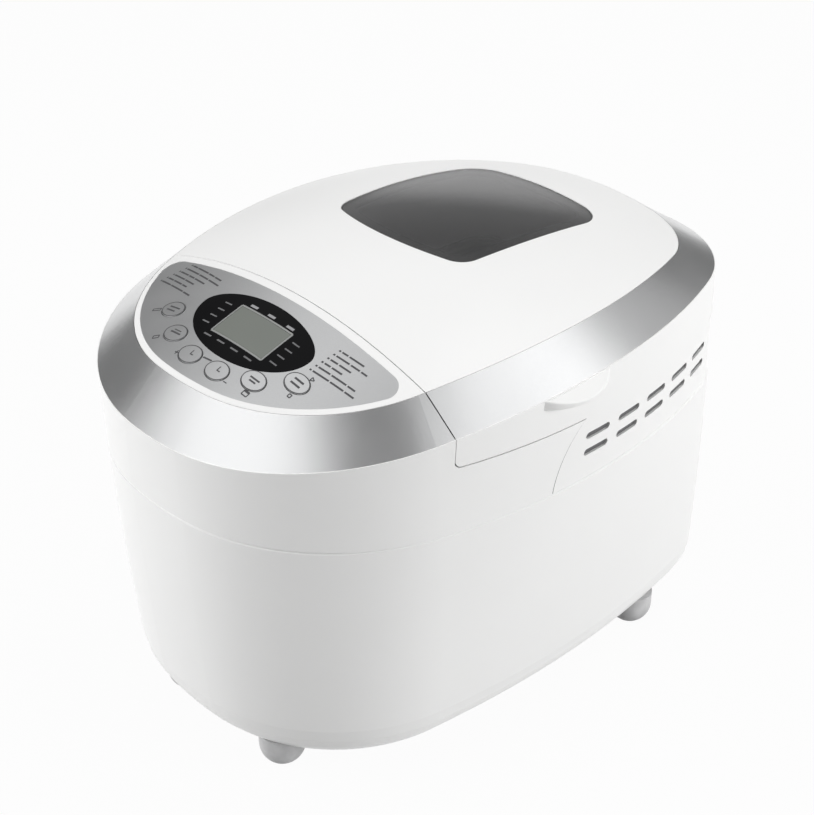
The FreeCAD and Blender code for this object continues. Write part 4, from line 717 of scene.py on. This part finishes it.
def stroke_marks(graph, inputs):
    """One thin bar on each point, laid on the crown and given a film thickness."""
    grid = {"Size X": 1.0, "Size Y": 1.0, "Vertices X": BAR_POINTS, "Vertices Y": 2}
    bar = graph.add("GeometryNodeMeshGrid", grid).outputs["Mesh"]
    turn = graph.add("ShaderNodeCombineXYZ", {2: attribute(graph, "turn")}).outputs[0]
    sides = {0: attribute(graph, "long"), 1: attribute(graph, "wide"), 2: 1.0}
    size = graph.add("ShaderNodeCombineXYZ", sides).outputs[0]
    spread = {"Points": inputs["Geometry"], "Instance": bar, "Rotation": turn, "Scale": size}
    bars = graph.add("GeometryNodeInstanceOnPoints", spread).outputs[0]
    marks = graph.add("GeometryNodeRealizeInstances", {"Geometry": bars}).outputs[0]
    place = graph.add("GeometryNodeInputPosition").outputs[0]
    crowned = crown_height(graph, place, inputs)
    laid = graph.add("GeometryNodeSetPosition", {"Geometry": marks, "Position": crowned}).outputs[0]
    return sheet(graph, laid, inputs["Film"])


STROKES = piece_tree("printed_strokes", {**CROWN_SIZES, "Lift": 0.0, "Film": FILM}, stroke_marks)


def print_piece(name, strokes, lift, ink, body):
    """Strokes given as x, y, x, y and width in millimetres become one printed piece."""
    middles = []
    facts = {"long": [], "wide": [], "turn": []}
    for x0, y0, x1, y1, width in strokes:
        run = Vector((x1 - x0, y1 - y0))
        middles.append(((x0 + x1) / 2 * MM, (y0 + y1) / 2 * MM, 0))
        facts["long"].append(run.length * MM)
        facts["wide"].append(width * MM)
        facts["turn"].append(math.atan2(run.y, run.x))
    grow_piece(name, STROKES, middles, facts, {"Lift": lift, "Finish": ink}, body)


def outline_strokes(points, line):
    """Closed outline through corner points."""
    return [(*near, *far, line) for near, far in zip(points, points[1:] + points[:1])]


def oval_strokes(x, y, length, width, line):
    """Closed oval drawn as short strokes that overlap a little."""
    points = []
    for step in range(OVAL_STROKES):
        angle = 2 * math.pi * step / OVAL_STROKES
        points.append((x + length / 2 * math.cos(angle), y + width / 2 * math.sin(angle)))
    strokes = []
    for x0, y0, x1, y1, _ in outline_strokes(points, line):
        over_x = (x1 - x0) * STROKE_OVERLAP
        over_y = (y1 - y0) * STROKE_OVERLAP
        strokes.append((x0 - over_x, y0 - over_y, x1 + over_x, y1 + over_y, line))
    return strokes


def word_rows(start, across, down, rows, line):
    """Rows of printed dashes that stand for a short list; rows hold the dash lengths."""
    strokes = []
    step = Vector(across).normalized()
    for index, dashes in enumerate(rows):
        place = Vector(start) + Vector(down) * index
        for dash in dashes:
            end = place + step * dash
            strokes.append((place.x, place.y, end.x, end.y, line))
            place = end + step * WORD_GAP
    return strokes


KEY_MIDDLE = (3.0, -64.7)
KEY_ARC = 80.0
KEY_STEP = math.radians(16.5)
KEY_OVAL = (15.5, 10.5)
KEY_LINE = 0.45


def key_place(index):
    angle = KEY_STEP * (index - (len(KEY_NAMES) - 1) / 2)
    return KEY_MIDDLE[0] + KEY_ARC * math.sin(angle), KEY_MIDDLE[1] - KEY_ARC * math.cos(angle)


def shifted(strokes, x, y):
    return [(x0 + x, y0 + y, x1 + x, y1 + y, width) for x0, y0, x1, y1, width in strokes]


# Strokes of the icons on each key, from its middle
LIST_ICON = [(-4.2, 1.2, 4.2, 1.2, 0.9), (-4.2, -1.2, 2.6, -1.2, 0.9)]
CRUST_ICON = [(-4.0, 0.0, 4.0, 0.0, 1.0), (-2.8, 1.7, 2.8, 1.7, 0.6)]
CLOCK_ICON = [(0.0, -0.2, 0.0, 2.6, 0.6), (-0.2, 0.0, 2.2, 0.0, 0.6)]
LOAF_ICON = [(-3.6, 0.9, 3.6, 0.9, 0.9), (-2.4, -0.9, 2.4, -0.9, 0.9)]
START_ICON = [(-3.4, 1.5, 3.4, 1.5, 1.1), (-3.4, -1.3, 3.4, -1.3, 1.1)]
KEY_ICONS = (LIST_ICON, CRUST_ICON, CLOCK_ICON, CLOCK_ICON, LOAF_ICON, START_ICON)
for index, (name, icon) in enumerate(zip(KEY_NAMES, KEY_ICONS)):
    x, y = key_place(index)
    marks = oval_strokes(x, y, *KEY_OVAL, KEY_LINE) + shifted(icon, x, y)
    print_piece(name + "_mark", marks, KEY_LIFT, INK, name)

# Strokes of the icons beside each key, from its middle
ROLLER_ICON = outline_strokes([(-13.6, -3.6), (-8.9, -1.6), (-8.3, -3.0), (-13.0, -5.0)], 0.5)
LOAF_OUTLINE = outline_strokes([(-11.4, -6.4), (-8.4, -4.6), (-7.4, -6.2), (-10.4, -8.0)], 0.5)
PLUS_ICON = [(-10.2, -2.4, -7.6, -2.4, 0.55), (-8.9, -3.7, -8.9, -1.1, 0.55)]
MINUS_ICON = [(8.4, -2.4, 11.0, -2.4, 0.55)]
LOAF_BOX = outline_strokes([(0.6, -8.6), (0.6, -5.9), (4.4, -5.9), (4.4, -8.6)], 0.6)
LOAF_CRUST = [(1.0, -6.4, 4.0, -6.4, 0.9)]
PLAY_ICON = outline_strokes([(3.4, 5.4), (3.4, 7.6), (5.6, 6.5)], 0.6)
STOP_ICON = outline_strokes([(1.8, -8.0), (1.8, -6.2), (3.6, -6.2), (3.6, -8.0)], 0.6)
SIDE_ICONS = (
    ROLLER_ICON, LOAF_OUTLINE, PLUS_ICON, MINUS_ICON, LOAF_BOX + LOAF_CRUST, PLAY_ICON + STOP_ICON,
)
TIMER_BAR = (-0.3, -141.6, 6.2, -141.0, 0.9)
side_marks = [TIMER_BAR]
for index, icon in enumerate(SIDE_ICONS):
    side_marks += shifted(icon, *key_place(index))
print_piece("panel_icons", side_marks, PANEL_LIFT, INK, "housing")

# Two lists beside the keys: start, way along a row, step to the next row and dash lengths
LEGEND_LINE = 1.0
LEFT_LIST = ((-78.7, -91.2), (1.0, -0.16), (-1.5, -3.26))
LEFT_ROWS = (
    (1.2, 5, 12, 6, 7),
    (1.2, 14, 10, 11),
    (1.2, 9, 6, 11),
    (1.2, 12, 10),
    (1.2, 6, 9, 5),
    (1.2, 10, 14, 7),
)
RIGHT_LIST = ((56.1, -97.4), (1.0, 0.10), (-0.48, -3.5))
RIGHT_ROWS = (
    (1.2, 4, 10),
    (1.2, 9, 6, 4),
    (1.2, 5, 8),
    (1.2, 4, 7),
    (1.2, 8, 10, 5),
    (1.2, 11, 9, 6),
)
legend = word_rows(*LEFT_LIST, LEFT_ROWS, LEGEND_LINE) + word_rows(*RIGHT_LIST, RIGHT_ROWS, LEGEND_LINE)
print_piece("panel_legend", legend, PANEL_LIFT, INK, "housing")

# Marks round the display pane: heads behind it, settings on its left and right and in front of it
HEAD_COLUMNS = (-5.8, 8.7, 24.0)
HEAD_ROW = -103.2
HEAD_REACH = 2.8
HEAD_LINE = 1.5
SETTING_COUNT = 4
LEFT_ENDS = (-24.5, -19.0)
LEFT_FIRST = -108.3
LEFT_PITCH = 5.1
RIGHT_ENDS = (33.0, 38.5)
RIGHT_FIRST = -109.1
RIGHT_PITCH = 5.0
SIDE_LINE = 0.8
FRONT_FIRST = -12.0
FRONT_PITCH = 11.3
FRONT_ROW = -129.8
FRONT_REACH = 3
FRONT_LINE = 0.9
labels = [(x - HEAD_REACH, HEAD_ROW, x + HEAD_REACH, HEAD_ROW, HEAD_LINE) for x in HEAD_COLUMNS]
print_piece("display_labels", labels, PANEL_LIFT, PALE_INK, "housing")
settings = []
for step in range(SETTING_COUNT):
    left_y = LEFT_FIRST - LEFT_PITCH * step
    right_y = RIGHT_FIRST - RIGHT_PITCH * step
    x = FRONT_FIRST + FRONT_PITCH * step
    settings.append((LEFT_ENDS[0], left_y, LEFT_ENDS[1], left_y, SIDE_LINE))
    settings.append((RIGHT_ENDS[0], right_y, RIGHT_ENDS[1], right_y, SIDE_LINE))
    settings.append((x - FRONT_REACH, FRONT_ROW, x + FRONT_REACH, FRONT_ROW, FRONT_LINE))
print_piece("display_settings", settings, PANEL_LIFT, DIM_INK, "housing")

LCD_X = (-13.2, 28.8)
LCD_Y = (-126.5, -105.5)
BEZEL_LINE = 1.0
lcd_corners = [(LCD_X[0], LCD_Y[0]), (LCD_X[1], LCD_Y[0]), (LCD_X[1], LCD_Y[1]), (LCD_X[0], LCD_Y[1])]
bezel = outline_strokes(lcd_corners, BEZEL_LINE)
print_piece("lcd_rim", bezel, PANEL_LIFT, BEZEL, "housing")
